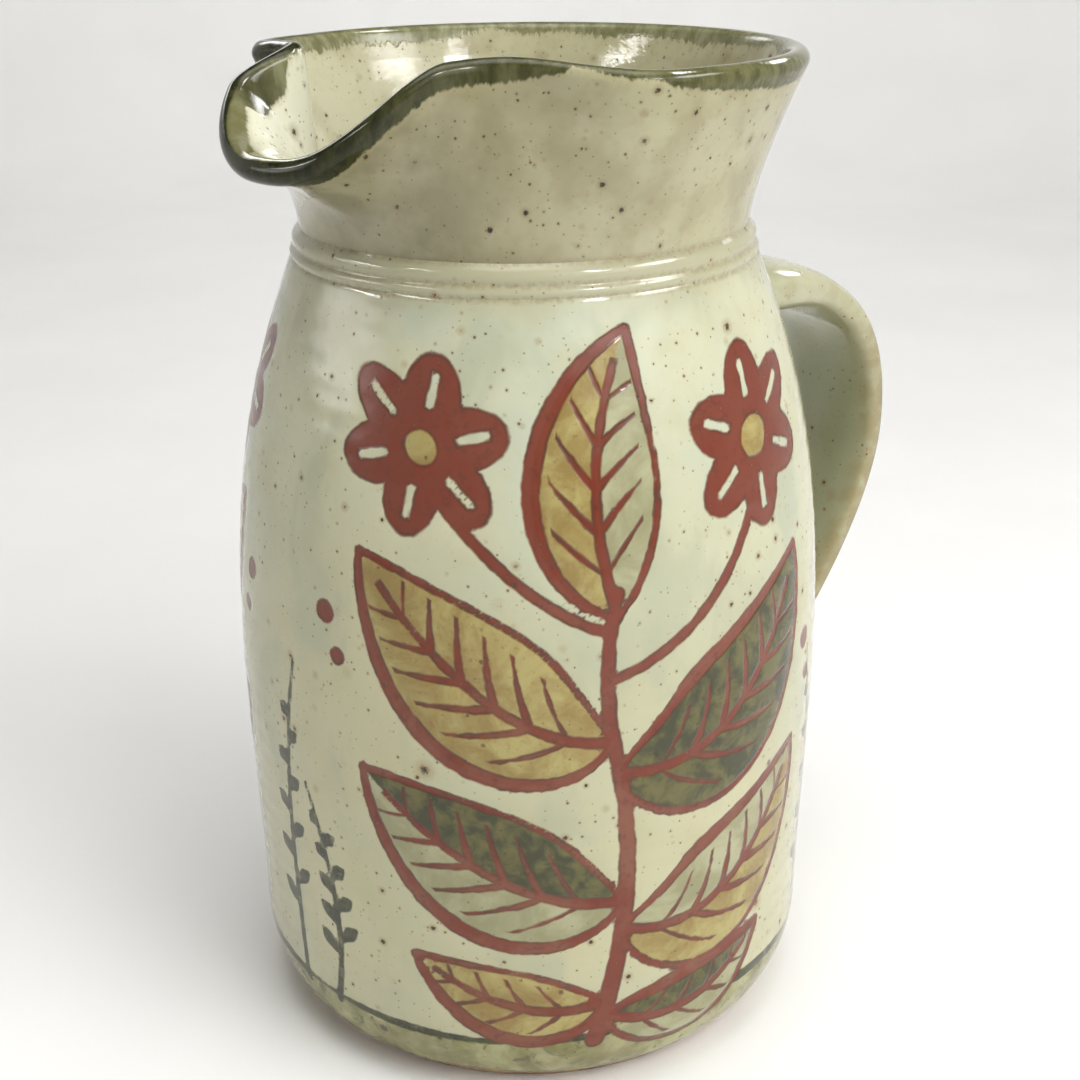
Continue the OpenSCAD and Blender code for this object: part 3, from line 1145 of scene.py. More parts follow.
@dataclass(frozen=True)
class PaleGlaze:
    """Glossy oatmeal glaze with drifting tones, iron specks and a slow orange-peel wave.

    Its ramps are heights, or distances from a groove or from where the neck is joined.
    """

    name: str
    tones: GlazeTones = GlazeTones()
    drift: Patches = Patches(42, 0.38, 0.64, rough=0.5)
    warmth: float = 0.28
    cloud: Patches = Patches(13, 0.42, 0.72, rough=0.52, shift=(31, 7, 3))
    grain: Patches = Patches(2.6, 0.5, 0.8, most=0.22, rough=0.6, shift=(5, 50, 9))
    # painted light: the body below the shoulder is painted warmer and darker, for warm light on the belly
    # and the paler sheen on the shoulder
    lower_warm_shade: float = 0.0
    lower_warm_shade_ramp: Range = (172.0, 108.0)
    mistiness: float = 0.0
    veil: Patches = Patches(19, 0.48, 0.7, rough=0.58, shift=(14, 22, 6), stretch=(1, 1, 0.55), warp=0.5)
    # toasted glaze near the foot, made darker as painted shade where the bottom curves away
    foot_toast_and_shade: float = 0.0
    toast_and_shade_ramp: Range = (10.0, -9.0)
    toast_and_shade_edge: Patches = Patches(9, detail=4, rough=0.65, warp=0.8)
    toast_and_shade_climb: float = 26.0
    meet_z: float = 0.0
    meet_share: float = 0.85
    meet_ramp: Range = (14.0, 4.0)
    meet_edge: Patches = Patches(10, shift=(3, 8, 15))
    meet_sway: float = 9.0
    grooves: tuple[float, ...] = ()
    groove_ramp: Range = (1.3, 0.0)
    grit: Patches = Patches(1.3, 0.36, 0.68, 0.2, 0.8, rough=0.6, shift=(6, 2, 11))
    speckle: float = 0.85
    speck_room: float = 1.0
    freckles: Specks = Specks(2.3, 0.3, 29.0, 0.62)
    iron: tuple[Specks, ...] = (
        Specks(8.5, 0.75, 3.0),
        Specks(3.6, 0.36, 17.0, 0.8),
        Specks(24.0, 1.5, 41.0),
    )
    halo_share: float = 0.42
    mirror: float = 0.5
    shine: Range = (0.045, 0.10)
    satin: Patches = Patches(6, 0.3, 0.7, rough=0.6, shift=(90, 3, 1))
    speck_dull: float = 0.18
    speck_pit: float = 0.05
    wave: Patches = Patches(7.5, detail=2, rough=0.45, shift=(3, 3, 70))
    wave_depth: float = 0.16
    peel: Patches = Patches(1.1, detail=2, rough=0.5, shift=(1, 60, 7))
    peel_depth: float = 0.017

    def tint(self, g: Graph, colour: Socket) -> Socket:
        """Changes the glaze's colour under its specks; the plain glaze keeps it."""
        return colour

    def ground(self, g: Graph) -> tuple[Socket, Socket]:
        """Lays the bare glaze.

        Args:
            g: The material's nodes.

        Returns:
            Its colour, and the mask of its specks.
        """
        c = self.tones
        colour = g.mix(g.patches(self.drift), c.cool, c.pale)
        colour = g.mix(g.patches(self.cloud, (0.0, self.warmth)), colour, c.warm)
        colour = g.mix(g.patches(self.grain), colour, c.warm)
        # painted light: warmer and darker below the shoulder, by height
        if self.lower_warm_shade:
            colour = g.mix(g.span(g.height(), *self.lower_warm_shade_ramp, (0.0, self.lower_warm_shade)), colour, c.warm)
        if self.mistiness:
            colour = g.mix(g.patches(self.veil, (0.0, self.mistiness)), colour, c.mist)
        # toasted glaze at the foot, with painted shade where the bottom turns under
        if self.foot_toast_and_shade:
            low = g.plus(g.height(), g.times(g.noise(self.toast_and_shade_edge), -self.toast_and_shade_climb))
            colour = g.mix(g.span(low, *self.toast_and_shade_ramp, (0.0, self.foot_toast_and_shade)), colour, c.toast_and_shade)
        if self.meet_z:
            below = g.plus(g.minus(self.meet_z, g.height()), g.sway(self.meet_edge, self.meet_sway))
            colour = g.mix(g.span(below, *self.meet_ramp, (0.0, self.meet_share)), colour, c.meet)
        for groove in self.grooves:
            away = g.math("ABSOLUTE", g.minus(g.height(), groove))
            colour = g.mix(g.times(g.span(away, *self.groove_ramp), g.patches(self.grit)), colour, c.groove)
        colour = self.tint(g, colour)
        freckle, _ = g.specks(self.freckles, self.speck_room)
        colour = g.mix(g.times(freckle, self.freckles.share * self.speckle), colour, c.freckle)
        masks = []
        for layer in self.iron:
            speck, halo = g.specks(layer, self.speck_room)
            colour = g.mix(g.times(halo, self.halo_share * self.speckle * layer.share), colour, c.halo)
            masks.append(g.times(speck, self.speckle * layer.share))
            colour = g.mix(masks[-1], colour, c.speck)
        return colour, g.largest(masks)

    def gloss(self, g: Graph, mask: Socket) -> tuple[Socket, Socket]:
        """Gives the glaze its shine.

        Args:
            g: The material's nodes.
            mask: Where its specks are.

        Returns:
            Roughness and normal.
        """
        rough = g.plus(g.patches(self.satin, self.shine), g.times(mask, self.speck_dull))
        wave = g.bump(g.noise(self.wave), self.wave_depth)
        peel = g.bump(g.noise(self.peel), self.peel_depth, wave)
        return rough, g.bump(mask, -self.speck_pit, peel)

    def material(self) -> Material:
        """Makes the finish.

        Returns:
            The material.
        """
        g = Graph(self.name)
        colour, mask = self.ground(g)
        return g.finish(colour, *self.gloss(g, mask), self.mirror)


@dataclass(frozen=True)
class Pigment:
    """A paint: light and dark in drifts of a size, marks of a third colour, and how well it covers."""

    light: Colour
    dark: Colour
    size: float
    mark: Colour = (0.0, 0.0, 0.0)
    marks: Patches | None = None
    cover: Patches | None = None

    def drift(self) -> Patches:
        """The drifts between its dark and its light."""
        return Patches(self.size, 0.36, 0.66, detail=4, rough=0.62, shift=(self.size, 20, 4), warp=0.5)


PIGMENTS: dict[Paint, Pigment] = {
    Paint.WASH: Pigment(
        light=(0.355, 0.36, 0.16),
        dark=(0.165, 0.155, 0.042),
        size=13,
        mark=(0.085, 0.066, 0.026),
        marks=Patches(4.5, 0.54, 0.68, most=0.85, detail=4, rough=0.66, shift=(7, 3, 30), warp=0.7),
        cover=Patches(8, 0.3, 0.6, 0.62, 0.98),
    ),
    Paint.CELADON: Pigment(light=(0.40, 0.39, 0.235), dark=(0.27, 0.26, 0.135), size=14),
    Paint.OCHRE: Pigment(
        light=(0.40, 0.335, 0.118),
        dark=(0.26, 0.175, 0.046),
        size=11,
        mark=(0.20, 0.115, 0.03),
        marks=Patches(1.5, 0.58, 0.75, most=0.6, rough=0.6, shift=(40, 3, 8)),
    ),
    Paint.OLIVE: Pigment(light=(0.115, 0.103, 0.026), dark=(0.03, 0.032, 0.008), size=6),
    Paint.DARK: Pigment(
        light=(0.05, 0.052, 0.016),
        dark=(0.017, 0.019, 0.004),
        size=5,
        cover=Patches(4, 0.28, 0.5, 0.8, rough=0.6),
    ),
    Paint.RUST: Pigment(
        light=(0.195, 0.058, 0.03),
        dark=(0.165, 0.019, 0.005),
        size=19,
        mark=(0.085, 0.014, 0.006),
        marks=Patches(2.4, 0.52, 0.72, most=0.55, rough=0.6, shift=(12, 30, 5)),
    ),
}


@dataclass(frozen=True)
class PaintedGlaze(PaleGlaze):
    """The pale glaze with the painted sprays, their lines lying lower than the glaze between them."""

    brush: Patches = Patches(3.4, detail=2, rough=0.5, shift=(8, 8, 2))
    brush_sway: float = 0.9
    paint_edge: Range = (0.3, -0.3)
    paint_share: float = 0.97
    vein_pitch: float = 6.2
    vein_taper: float = -11.0
    vein_half: Range = (0.35, 1.0)
    rust_ramp: Range = (150.0, 95.0)
    rust_light: Range = (0.25, 1.0)
    seam: Colour = (0.075, 0.03, 0.016)
    seam_at: float = 0.15
    seam_edge: Range = (0.55, 0.05)
    seam_patches: Patches = Patches(6, 0.35, 0.6, 0.15, 0.75, detail=2, rough=0.5, shift=(4, 4, 1))
    speck_through: float = 0.7
    line_edge: Range = (0.45, -0.5)
    line_dull: float = 0.13
    line_depth: float = 0.12

    def veins(self, g: Graph) -> Socket:
        """The leaves' side veins, which taper from the midrib to their ends.

        Args:
            g: The material's nodes.

        Returns:
            Distance from them.
        """
        reach = g.read(Vein.REACH.value)
        away = g.math("PINGPONG", g.read(Vein.RANK.value), self.vein_pitch / 2)
        line = g.minus(away, g.span(reach, 0.0, self.vein_taper, self.vein_half))
        return g.math("MAXIMUM", line, reach)

    def pigment(self, g: Graph, paint: Paint) -> Socket:
        """The uneven colour of a paint.

        Args:
            g: The material's nodes.
            paint: The paint.

        Returns:
            Its colour.
        """
        pigment = PIGMENTS[paint]
        drift = g.patches(pigment.drift())
        if paint is Paint.RUST:
            drift = g.times(drift, g.span(g.height(), *self.rust_ramp, self.rust_light))
        colour = g.mix(drift, pigment.dark, pigment.light)
        if pigment.marks:
            colour = g.mix(g.patches(pigment.marks), colour, pigment.mark)
        return colour

    def material(self) -> Material:
        """Makes the finish.

        Returns:
            The material.
        """
        g = Graph(self.name)
        colour, mask = self.ground(g)
        wobble = g.sway(self.brush, self.brush_sway)
        edges = {paint: g.read(paint.value) for paint in Paint}
        edges[Paint.RUST] = g.math("MINIMUM", edges[Paint.RUST], self.veins(g))
        covers = []
        for paint, edge in edges.items():
            edges[paint] = g.plus(edge, wobble)
            share = g.span(edges[paint], *self.paint_edge)
            if PIGMENTS[paint].cover:
                share = g.times(share, g.patches(PIGMENTS[paint].cover))
            colour = g.mix(g.times(share, self.paint_share), colour, self.pigment(g, paint))
            covers.append(share)
        rust = edges[Paint.RUST]
        seam = g.span(g.math("ABSOLUTE", g.plus(rust, self.seam_at)), *self.seam_edge)
        colour = g.mix(g.times(seam, g.patches(self.seam_patches)), colour, self.seam)
        through = g.span(g.largest(covers), 0.0, 1.0, (0.0, self.speck_through))
        colour = g.mix(g.times(mask, through), colour, self.tones.speck)
        rough, normal = self.gloss(g, mask)
        line = g.span(rust, *self.line_edge)
        rough = g.plus(rough, g.times(line, self.line_dull))
        return g.finish(colour, rough, g.bump(line, -self.line_depth, normal), self.mirror)


@dataclass(frozen=True)
class StrapGlaze(PaleGlaze):
    """The pale glaze of the strap, warmer where it breaks over the edges, with painted shade darkening the
    inner face.
    """

    # painted shade: a darker tone laid on the strap's face toward the finger hole
    inner_face_shade: Colour = (0.29, 0.30, 0.19)
    inner_face_shade_share: float = 0.75
    broken: Patches = Patches(7, 0.3, 0.62, 0.3, 0.8, shift=(2, 9, 5))

    def tint(self, g: Graph, colour: Socket) -> Socket:
        """Changes the glaze's colour under its specks."""
        # painted shade on the strap's inner face, laid by its mask read from the piece
        colour = g.mix(g.times(g.read("inner"), self.inner_face_shade_share), colour, self.inner_face_shade)
        return g.mix(g.times(g.read("edge"), g.patches(self.broken)), colour, self.tones.warm)


@dataclass(frozen=True)
class CollarGlaze(PaleGlaze):
    """The pale glaze of neck and inside, with the dark glaze that runs down from the lip."""

    # painted sheen: a near-white tone laid on the inside of the spout and on the far inner wall
    spout_sheen: Colour = (0.76, 0.76, 0.60)
    # a brown glaze stain on the neck beside the spout, deepened as a painted shadow of the spout
    stain_and_shade_tone: Colour = (0.175, 0.155, 0.082)
    stain_and_shade_cloud: Patches = Patches(12, 0.3, 0.6, 0.5, rough=0.5, shift=(12, 4, 40))
    # painted shade: a near-black tone on the lip around the spout, also used for the real dark blot inside
    # it
    spout_shade_and_blot_black: Colour = (0.012, 0.014, 0.004)
    dark: Colour = (0.06, 0.06, 0.018)
    thin: Colour = (0.15, 0.147, 0.066)
    khaki: Colour = (0.15, 0.142, 0.058)
    # the inner side of the dark glaze is lighter: thinner glaze, and a painted reflection of light from
    # above
    moss_and_sheen: Colour = (0.27, 0.268, 0.155)
    tan: Colour = (0.34, 0.30, 0.16)
    inside: Range = (-1.0, -3.4)
    runs: Patches = Patches(17, detail=2, rough=0.5, shift=(9, 2, 4))
    runs_sway: float = 4.0
    teeth: Patches = Patches(1.1, stretch=(1, 1, 0.25))
    teeth_sway: float = 4.2
    teeth_outside: float = 0.5
    teeth_spout: Range = (0.0, 0.6)
    teeth_inside: Range = (1.0, 0.3)
    edge_soft: Range = (0.35, 0.45)
    fringe: Range = (1.7, 0.0)
    fringe_share: float = 0.35
    streaks: Patches = Patches(3.2, 0.34, 0.7, detail=4, rough=0.66, shift=(2, 5, 8), stretch=(1, 1, 0.3))
    pools: Patches = Patches(8, 0.36, 0.56, 0.3, 0.9, detail=2, rough=0.5, shift=(6, 1, 1))
    crest: Range = (2.2, 0.2)
    # thin glaze breaking over the crest, and a painted highlight along it
    crest_thin_and_highlight: float = 0.35
    spout_shade_and_blot_share: float = 0.96
    spout_shade_and_blot_streak: float = 0.45
    band_depth: float = 0.06

    def tint(self, g: Graph, colour: Socket) -> Socket:
        """Changes the glaze's colour under its specks."""
        # painted sheen on the inside toward the spout
        colour = g.mix(g.read("spout_sheen"), colour, self.spout_sheen)
        # brown beside the spout: partly glaze stain and partly painted shadow of the spout
        return g.mix(g.times(g.read("stain_and_shade"), g.patches(self.stain_and_shade_cloud)), colour, self.stain_and_shade_tone)

    def band(self, g: Graph, inside: Socket) -> Socket:
        """The ragged edge of the dark glaze.

        Args:
            g: The material's nodes.
            inside: Share of the inner side.

        Returns:
            Distance from the edge, below 0 in the dark glaze.
        """
        calm = g.span(g.read("tip"), *self.teeth_spout, self.teeth_inside)
        teeth = g.times(
            g.sway(self.teeth, self.teeth_sway),
            g.span(inside, 0.0, 1.0, (self.teeth_outside, calm)),
        )
        return g.plus(g.read("band"), g.plus(g.sway(self.runs, self.runs_sway), teeth))

    def dip(self, g: Graph, inside: Socket) -> Socket:
        """The dark glaze: lighter inside, where it is thin and where a painted reflection lies; near black
        by the spout, where painted shade lies; and near black in a real dark blot inside the spout.

        Args:
            g: The material's nodes.
            inside: Share of the inner side.

        Returns:
            Its colour.
        """
        streak = g.patches(self.streaks)
        # lighter inside: thinner glaze, and a painted reflection on this upward-facing side
        inner = g.mix(streak, self.thin, self.moss_and_sheen)
        inner = g.mix(g.times(g.read("tip"), g.patches(self.pools)), inner, self.khaki)
        colour = g.mix(inside, g.mix(streak, self.dark, self.thin), inner)
        # the crest is lightened: thin glaze breaking over it, and a painted highlight along it
        crest = g.span(g.math("ABSOLUTE", g.read("lip")), *self.crest, (0.0, self.crest_thin_and_highlight))
        colour = g.mix(crest, colour, self.thin)
        # painted shade on the lip by the spout, and the real dark blot inside the spout
        spout_shade_and_blot_colour = g.mix(g.times(streak, self.spout_shade_and_blot_streak), self.spout_shade_and_blot_black, self.dark)
        return g.mix(g.times(g.read("spout_shade_and_blot"), self.spout_shade_and_blot_share), colour, spout_shade_and_blot_colour)

    def material(self) -> Material:
        """Makes the finish.

        Returns:
            The material.
        """
        g = Graph(self.name)
        colour, mask = self.ground(g)
        inside = g.span(g.read("lip"), *self.inside)
        edge = self.band(g, inside)
        soft = g.span(inside, 0.0, 1.0, self.edge_soft)
        cover = g.span(edge, soft, g.times(soft, -1.0))
        colour = g.mix(g.span(edge, *self.fringe, (0.0, self.fringe_share)), colour, self.tan)
        colour = g.mix(cover, colour, self.dip(g, inside))
        rough, normal = self.gloss(g, mask)
        return g.finish(colour, rough, g.bump(cover, self.band_depth, normal), self.mirror)


@dataclass(frozen=True)
class BareClay:
    """Bare toasted stoneware with grog and turning marks."""

    name: str
    light: Colour = (0.43, 0.30, 0.17)
    brown: Colour = (0.25, 0.145, 0.07)
    drift: Patches = Patches(9, 0.35, 0.65, detail=4, rough=0.6)
    grog: Colour = (0.10, 0.06, 0.035)
    grogs: Specks = Specks(2.6, 0.4, 9.0, 0.8)
    grain: Patches = Patches(0.5, 0.4, 0.75, detail=4, rough=0.7, shift=(2, 2, 9))
    grain_share: float = 0.35
    grain_depth: float = 0.07
    dry: Range = (0.3, 0.7)
    dull: Range = (0.68, 0.9)
    marks: Patches = Patches(1.6, detail=2, rough=0.5, stretch=(0.05, 0.05, 1))
    marks_depth: float = 0.08

    def material(self) -> Material:
        """Makes the finish.

        Returns:
            The material.
        """
        g = Graph(self.name)
        colour = g.mix(g.patches(self.drift), self.brown, self.light)
        grog, _ = g.specks(self.grogs)
        colour = g.mix(g.times(grog, self.grogs.share), colour, self.grog)
        grain = g.noise(self.grain)
        share = g.span(grain, self.grain.low, self.grain.high, (0.0, self.grain_share))
        colour = g.mix(share, colour, self.brown)
        normal = g.bump(grain, self.grain_depth, g.bump(g.noise(self.marks), self.marks_depth))
        return g.finish(colour, g.span(grain, *self.dry, self.dull), normal)


@dataclass(frozen=True)
class PaleFloor:
    """Plain pale paper with a faint drift and tooth."""

    name: str = "pale_floor"
    low: Colour = (0.90, 0.895, 0.885)
    high: Colour = (0.93, 0.925, 0.915)
    drift: Patches = Patches(160, 0.3, 0.7, rough=0.5)
    satin: Patches = Patches(30, 0.3, 0.7, 0.55, 0.7, rough=0.5)
    tooth: Patches = Patches(1.5, rough=0.6)
    tooth_depth: float = 0.02

    def material(self) -> Material:
        """Makes the finish.

        Returns:
            The material.
        """
        g = Graph(self.name)
        colour = g.mix(g.patches(self.drift), self.low, self.high)
        return g.finish(colour, g.patches(self.satin), g.bump(g.noise(self.tooth), self.tooth_depth))


@dataclass(frozen=True)
class Body:
    """The thrown body: clay with its floor and bare foot, and the painted coat outside it."""

    form: JugForm
    decoration: Decoration
    columns: int = 400
    pitch: float = 1.08
    fine: float = 0.45
    fine_foot: Range = (7.0, 10.0)
    fine_rings: Range = (5.0, 2.0)
    back_pitch: float = 9.0
    clay_columns: int = 160
    clay_pitch: float = 2.4
    hollow_pitch: float = 5.0
    under_rows: int = 22
    foot_inset: float = 1.2
    dish: float = 0.5
    dish_edge: Range = (44.0, 50.0)
    edge_taper: float = 1.3
    edge_thin: float = 0.85
    edge_wave: float = 1.6
    edge_mean: float = 0.3
    edge_reach: float = 9.0
    edge_turns: int = 3
    edge_waves: int = 9
    edge_seed: int = 21
    face_share: float = 0.93
    skim: float = 0.02
    relief: float = 0.16
    relief_reach: float = 1.1
    wobble: float = 0.22
    wobble_climb: float = 4.0
    wobble_seed: int = 11
    throwing: float = 0.07
    throwing_pace: float = 1.15
    throwing_sway: float = 2.5
    throwing_climb: float = 9.0
    throwing_seed: int = 3
    calm_foot: float = 12.0
    calm_rings: Range = (7.0, 1.0)

    def spacing(self, p: np.ndarray) -> np.ndarray:
        """Spacing of the coat's rows: fine at the rings and the foot.

        Args:
            p: Points of the outline, of shape (n, 2).

        Returns:
            The spacing at the points.
        """
        ring = self.form.below_rings(p[:, 1], *self.fine_rings)
        foot = 1 - step(*self.fine_foot, p[:, 1])
        return self.pitch + (self.fine - self.pitch) * np.maximum(ring, foot)

    def clay(self) -> Mesh:
        """Makes the clay.

        Returns:
            The mesh, in millimetres.
        """
        out = evenly(self.form.outline(), self.clay_pitch)
        out[:, 0] -= self.form.coat_t
        r = np.linspace(0, out[0, 0] - self.foot_inset, self.under_rows)
        under = np.stack([r, self.dish * (1 - step(*self.dish_edge, r))], -1)
        inside = self.form.under_liner(self.hollow_pitch)[::-1]
        return turned(np.concatenate([under, out, inside]), self.clay_columns)

    def sunk(self, angle: np.ndarray, z: np.ndarray, line_gap: np.ndarray) -> np.ndarray:
        """How far the coat's face lies under its outline.

        Args:
            angle: Angles around the jug, in radians.
            z: Heights.
            line_gap: Distances from the painted lines.

        Returns:
            The depths: sunk lines, a slow wobble and throwing marks, calm at the foot and the rings.
        """
        f = self.form
        rise = z / f.body_h
        depth = self.relief / (1 + (line_gap / self.relief_reach) ** 2)
        depth += self.wobble * ripple(angle, rise * self.wobble_climb, self.wobble_seed)
        swing = self.throwing_sway * ripple(angle, rise * self.throwing_climb, self.throwing_seed)
        depth += self.throwing * (0.5 + 0.5 * np.sin(z * self.throwing_pace + angle + swing))
        calm = step(f.bare_foot, self.calm_foot, z) * (1 - f.below_rings(z, *self.calm_rings))
        return depth * calm + self.skim

    def coat(self) -> tuple[Mesh, Field]:
        """Makes the coat.

        Returns:
            The mesh in millimetres, and the paint at its vertices.
        """
        f = self.form
        line = f.outline()
        line = line[line[:, 1] >= f.bare_foot]
        out = respaced(line, self.spacing)
        taper = np.clip((out[:, 1] - f.bare_foot) / self.edge_taper, 0, 1)
        out[:, 0] -= f.coat_t * self.edge_thin * (1 - np.sqrt(1 - (1 - taper) ** 2))
        back = evenly(line, self.back_pitch)[::-1]
        back[:, 0] -= f.coat_t
        bm = turned(np.concatenate([out, back]), self.columns)
        p = corners(bm)
        z = p[:, 2]
        r, angle = np.hypot(p[:, 0], p[:, 1]), np.arctan2(p[:, 1], p[:, 0])
        face = r > f.radius_at(z) - f.coat_t * self.face_share
        field = self.decoration.measure(p)
        field = {mark: np.where(face, values, FAR) for mark, values in field.items()}
        r_new = r - np.where(face, self.sunk(angle, z, np.maximum(field[Paint.RUST], 0)), 0.0)
        low = 1 - step(f.bare_foot, f.bare_foot + self.edge_reach, z)
        wave = ripple(angle * self.edge_turns, 0.0, self.edge_seed, self.edge_waves)
        z_new = z + self.edge_wave * (wave - self.edge_mean) * low
        scale = (r_new + f.radius_at(z_new) - f.radius_at(z)) / np.maximum(r, TINY)
        move_corners(bm, np.stack([p[:, 0] * scale, p[:, 1] * scale, z_new], -1))
        return bm, field

    def build(self) -> None:
        """Makes and dresses the clay and the coat."""
        f = self.form
        seat(as_piece("body_clay", self.clay()), "body", BareClay("body_clay").material())
        bm, field = self.coat()
        piece = as_piece("body_coat", bm)
        for mark, values in field.items():
            give(piece, mark.value, values)
        finish = PaintedGlaze(
            "painted_glaze",
            warmth=0.36,
            # painted light: a warmer, darker body below the shoulder
            lower_warm_shade=0.52,
            mistiness=0.5,
            # painted shade deepens the toast at the foot
            foot_toast_and_shade=0.75,
            meet_z=f.body_h,
            grooves=(f.rings_z, f.rings_z + f.lower_ring_h, f.body_h),
            speckle=1.0,
            speck_room=0.82,
        )
        seat(piece, "body_glaze", finish.material())


@dataclass(frozen=True)
class Dab:
    """A stretch of the rim that was dipped in the dark glaze."""

    centre: float
    half: float
    outside: float
    inside: float
    square: int = 4
    bow: float = 0.3

    def width(self, a: np.ndarray, lip: np.ndarray) -> np.ndarray:
        """Width of the glaze from the lip's crest.

        Args:
            a: Angles from the spout's tip, in degrees.
            lip: Distances from the crest, negative inside.

        Returns:
            The widths, 0 past the dab's round ends.
        """
        u = ((a - self.centre + 180) % 360 - 180) / self.half
        ends = np.clip(1 - u**self.square, 0, 1) ** self.bow
        return np.where(lip > 0, self.outside, self.inside) * ends


@dataclass(frozen=True)
class Collar:
    """The neck with its pulled spout: clay, pale coat outside, dark coat over the lip, and the liner.

    Angles are in degrees from the spout's tip.
    """

    form: JugForm
    tones: GlazeTones = GlazeTones(
        pale=(0.43, 0.405, 0.25),
        cool=(0.41, 0.39, 0.25),
        warm=(0.25, 0.212, 0.103),
        speck=(0.03, 0.024, 0.012),
        halo=(0.22, 0.16, 0.07),
    )
    dabs: tuple[Dab, ...] = (
        Dab(12, 50, 6.6, 5.4),
        Dab(117, 40, 6.2, 5.4),
        Dab(-164, 46, 5.8, 6.0),
        Dab(-80, 42, 6.0, 6.4),
        Dab(-8, 16, 0.0, 6.8),
        Dab(-27, 6.5, 0.0, 11.0),
    )
    bare_rim: float = 2.1
    tip_half: float = 52.0
    spout_sheen: float = 0.22
    spout_sheen_start: Range = (-125.0, -60.0)
    spout_sheen_more: float = 0.53
    spout_sheen_fold: Range = (-56.0, -42.0)
    spout_sheen_end: Range = (20.0, 70.0)
    stain_and_shade: float = 0.8
    stain_and_shade_angle: float = 22.0
    stain_and_shade_half: float = 56.0
    spout_shade_start: Range = (-90.0, -64.0)
    spout_shade_end: Range = (14.0, 78.0)
    spout_shade_inside: float = -2.2
    blot: float = 0.75
    blot_angle: float = -26.0
    blot_half: float = 9.0
    skin: float = 0.05
    columns: int = 400
    row: float = 0.95
    coarse: float = 5.0
    lip_rows: int = 16
    lip_back_rows: int = 6
    clay_columns: int = 200
    clay_row: float = 3.0
    clay_lip_rows: int = 8
    liner_row: float = 1.6
    liner_deep_row: float = 3.2
    liner_deep_z: float = 150.0
    liner_back_row: float = 9.0

    @property
    def face(self) -> float:
        """Distance of the glazed face from the middle of the wall."""
        return self.form.neck_t / 2

    @property
    def clay(self) -> float:
        """Distance of the clay's face from the middle of the wall."""
        return self.form.neck_t / 2 - self.form.coat_t

    def wall(self, beside: float, low: float, high: float, pitch: float) -> np.ndarray:
        """A line up the straight collar.

        Args:
            beside: Distance from the middle of the wall, negative inside.
            low: Height where it begins.
            high: Height where it ends.
            pitch: Spacing of its points.

        Returns:
            Points in (radius, height).
        """
        count = max(2, round((high - low) / pitch) + 1)
        return np.stack([np.full(count, self.form.neck_d / 2 + beside), np.linspace(low, high, count)], -1)

    def over(self, beside: float, low: float, pitch: float, rows: int) -> np.ndarray:
        """A line up the outside of the straight collar, round over its lip and down the inside.

        Args:
            beside: Distance from the middle of the wall.
            low: Height where it begins and ends.
            pitch: Spacing of its points on the sides.
            rows: Steps round the lip.

        Returns:
            Points in (radius, height).
        """
        f = self.form
        q = np.linspace(0, np.pi, rows + 1)[1:-1]
        lip = np.stack([f.neck_d / 2 + beside * np.cos(q), f.jug_h + beside * np.sin(q)], -1)
        up, down = (self.wall(side, low, f.jug_h, pitch) for side in (beside, -beside))
        return np.concatenate([up, lip, down[::-1]])

    def neck_profile(self) -> np.ndarray:
        """The coat outside the neck.

        Returns:
            Points in (radius, height).
        """
        f = self.form
        front = self.wall(self.face, f.body_h, f.rim_z, self.row)
        return np.concatenate([front, self.wall(self.clay, f.body_h, f.rim_z, self.coarse)[::-1]])

    def rim_profile(self) -> np.ndarray:
        """The coat over the lip.

        Returns:
            Points in (radius, height).
        """
        front = self.over(self.face, self.form.rim_z, self.row, self.lip_rows)
        back = self.over(self.clay, self.form.rim_z, self.coarse, self.lip_back_rows)
        return np.concatenate([front, back[::-1]])

    def liner_profile(self) -> np.ndarray:
        """The coat inside body and neck.

        Returns:
            Points in (radius, height).
        """
        f = self.form
        hollow = respaced(
            f.hollow(), lambda p: np.where(p[:, 1] > self.liner_deep_z, self.liner_row, self.liner_deep_row)
        )
        inner = np.concatenate([hollow[:-1], self.wall(-self.face, f.body_h, f.rim_z, self.row)])
        back = f.under_liner(self.liner_back_row)
        outer = np.concatenate([back[:-1], self.wall(-self.clay, f.body_h, f.rim_z, self.coarse)])
        return np.concatenate([inner, outer[::-1]])

    def lip_distance(self, p: np.ndarray) -> np.ndarray:
        """Distance of points on the straight collar from the lip's crest.

        Args:
            p: The points, of shape (n, 3).

        Returns:
            The distances, negative inside.
        """
        f = self.form
        r, z = np.hypot(p[:, 0], p[:, 1]), p[:, 2]
        side = np.where(r >= f.neck_d / 2, 1.0, -1.0)
        bow = np.arctan2(np.abs(r - f.neck_d / 2), np.maximum(z - f.jug_h, TINY)) * f.neck_t / 2
        return side * (bow + np.maximum(0, f.jug_h - z))

    def marks(self, angle: np.ndarray, lip: np.ndarray) -> dict[str, np.ndarray]:
        """What the finish reads at the vertices.

        Args:
            angle: Angles from the spout's tip.
            lip: Distances from the lip's crest, negative inside.

        Returns:
            A number for each vertex, under each name.
        """
        widths = [dab.width(angle, lip) for dab in self.dabs]
        band = np.maximum.reduce([np.full(len(lip), self.bare_rim), *widths])
        # painted sheen on the inside, rising toward the spout and fading past it
        spout_sheen = self.spout_sheen * step(*self.spout_sheen_start, angle) + self.spout_sheen_more * step(*self.spout_sheen_fold, angle)
        # outside the neck beside the spout: glaze stain and painted shadow of the spout
        stain_and_shade = self.stain_and_shade * swell((angle - self.stain_and_shade_angle) / self.stain_and_shade_half)
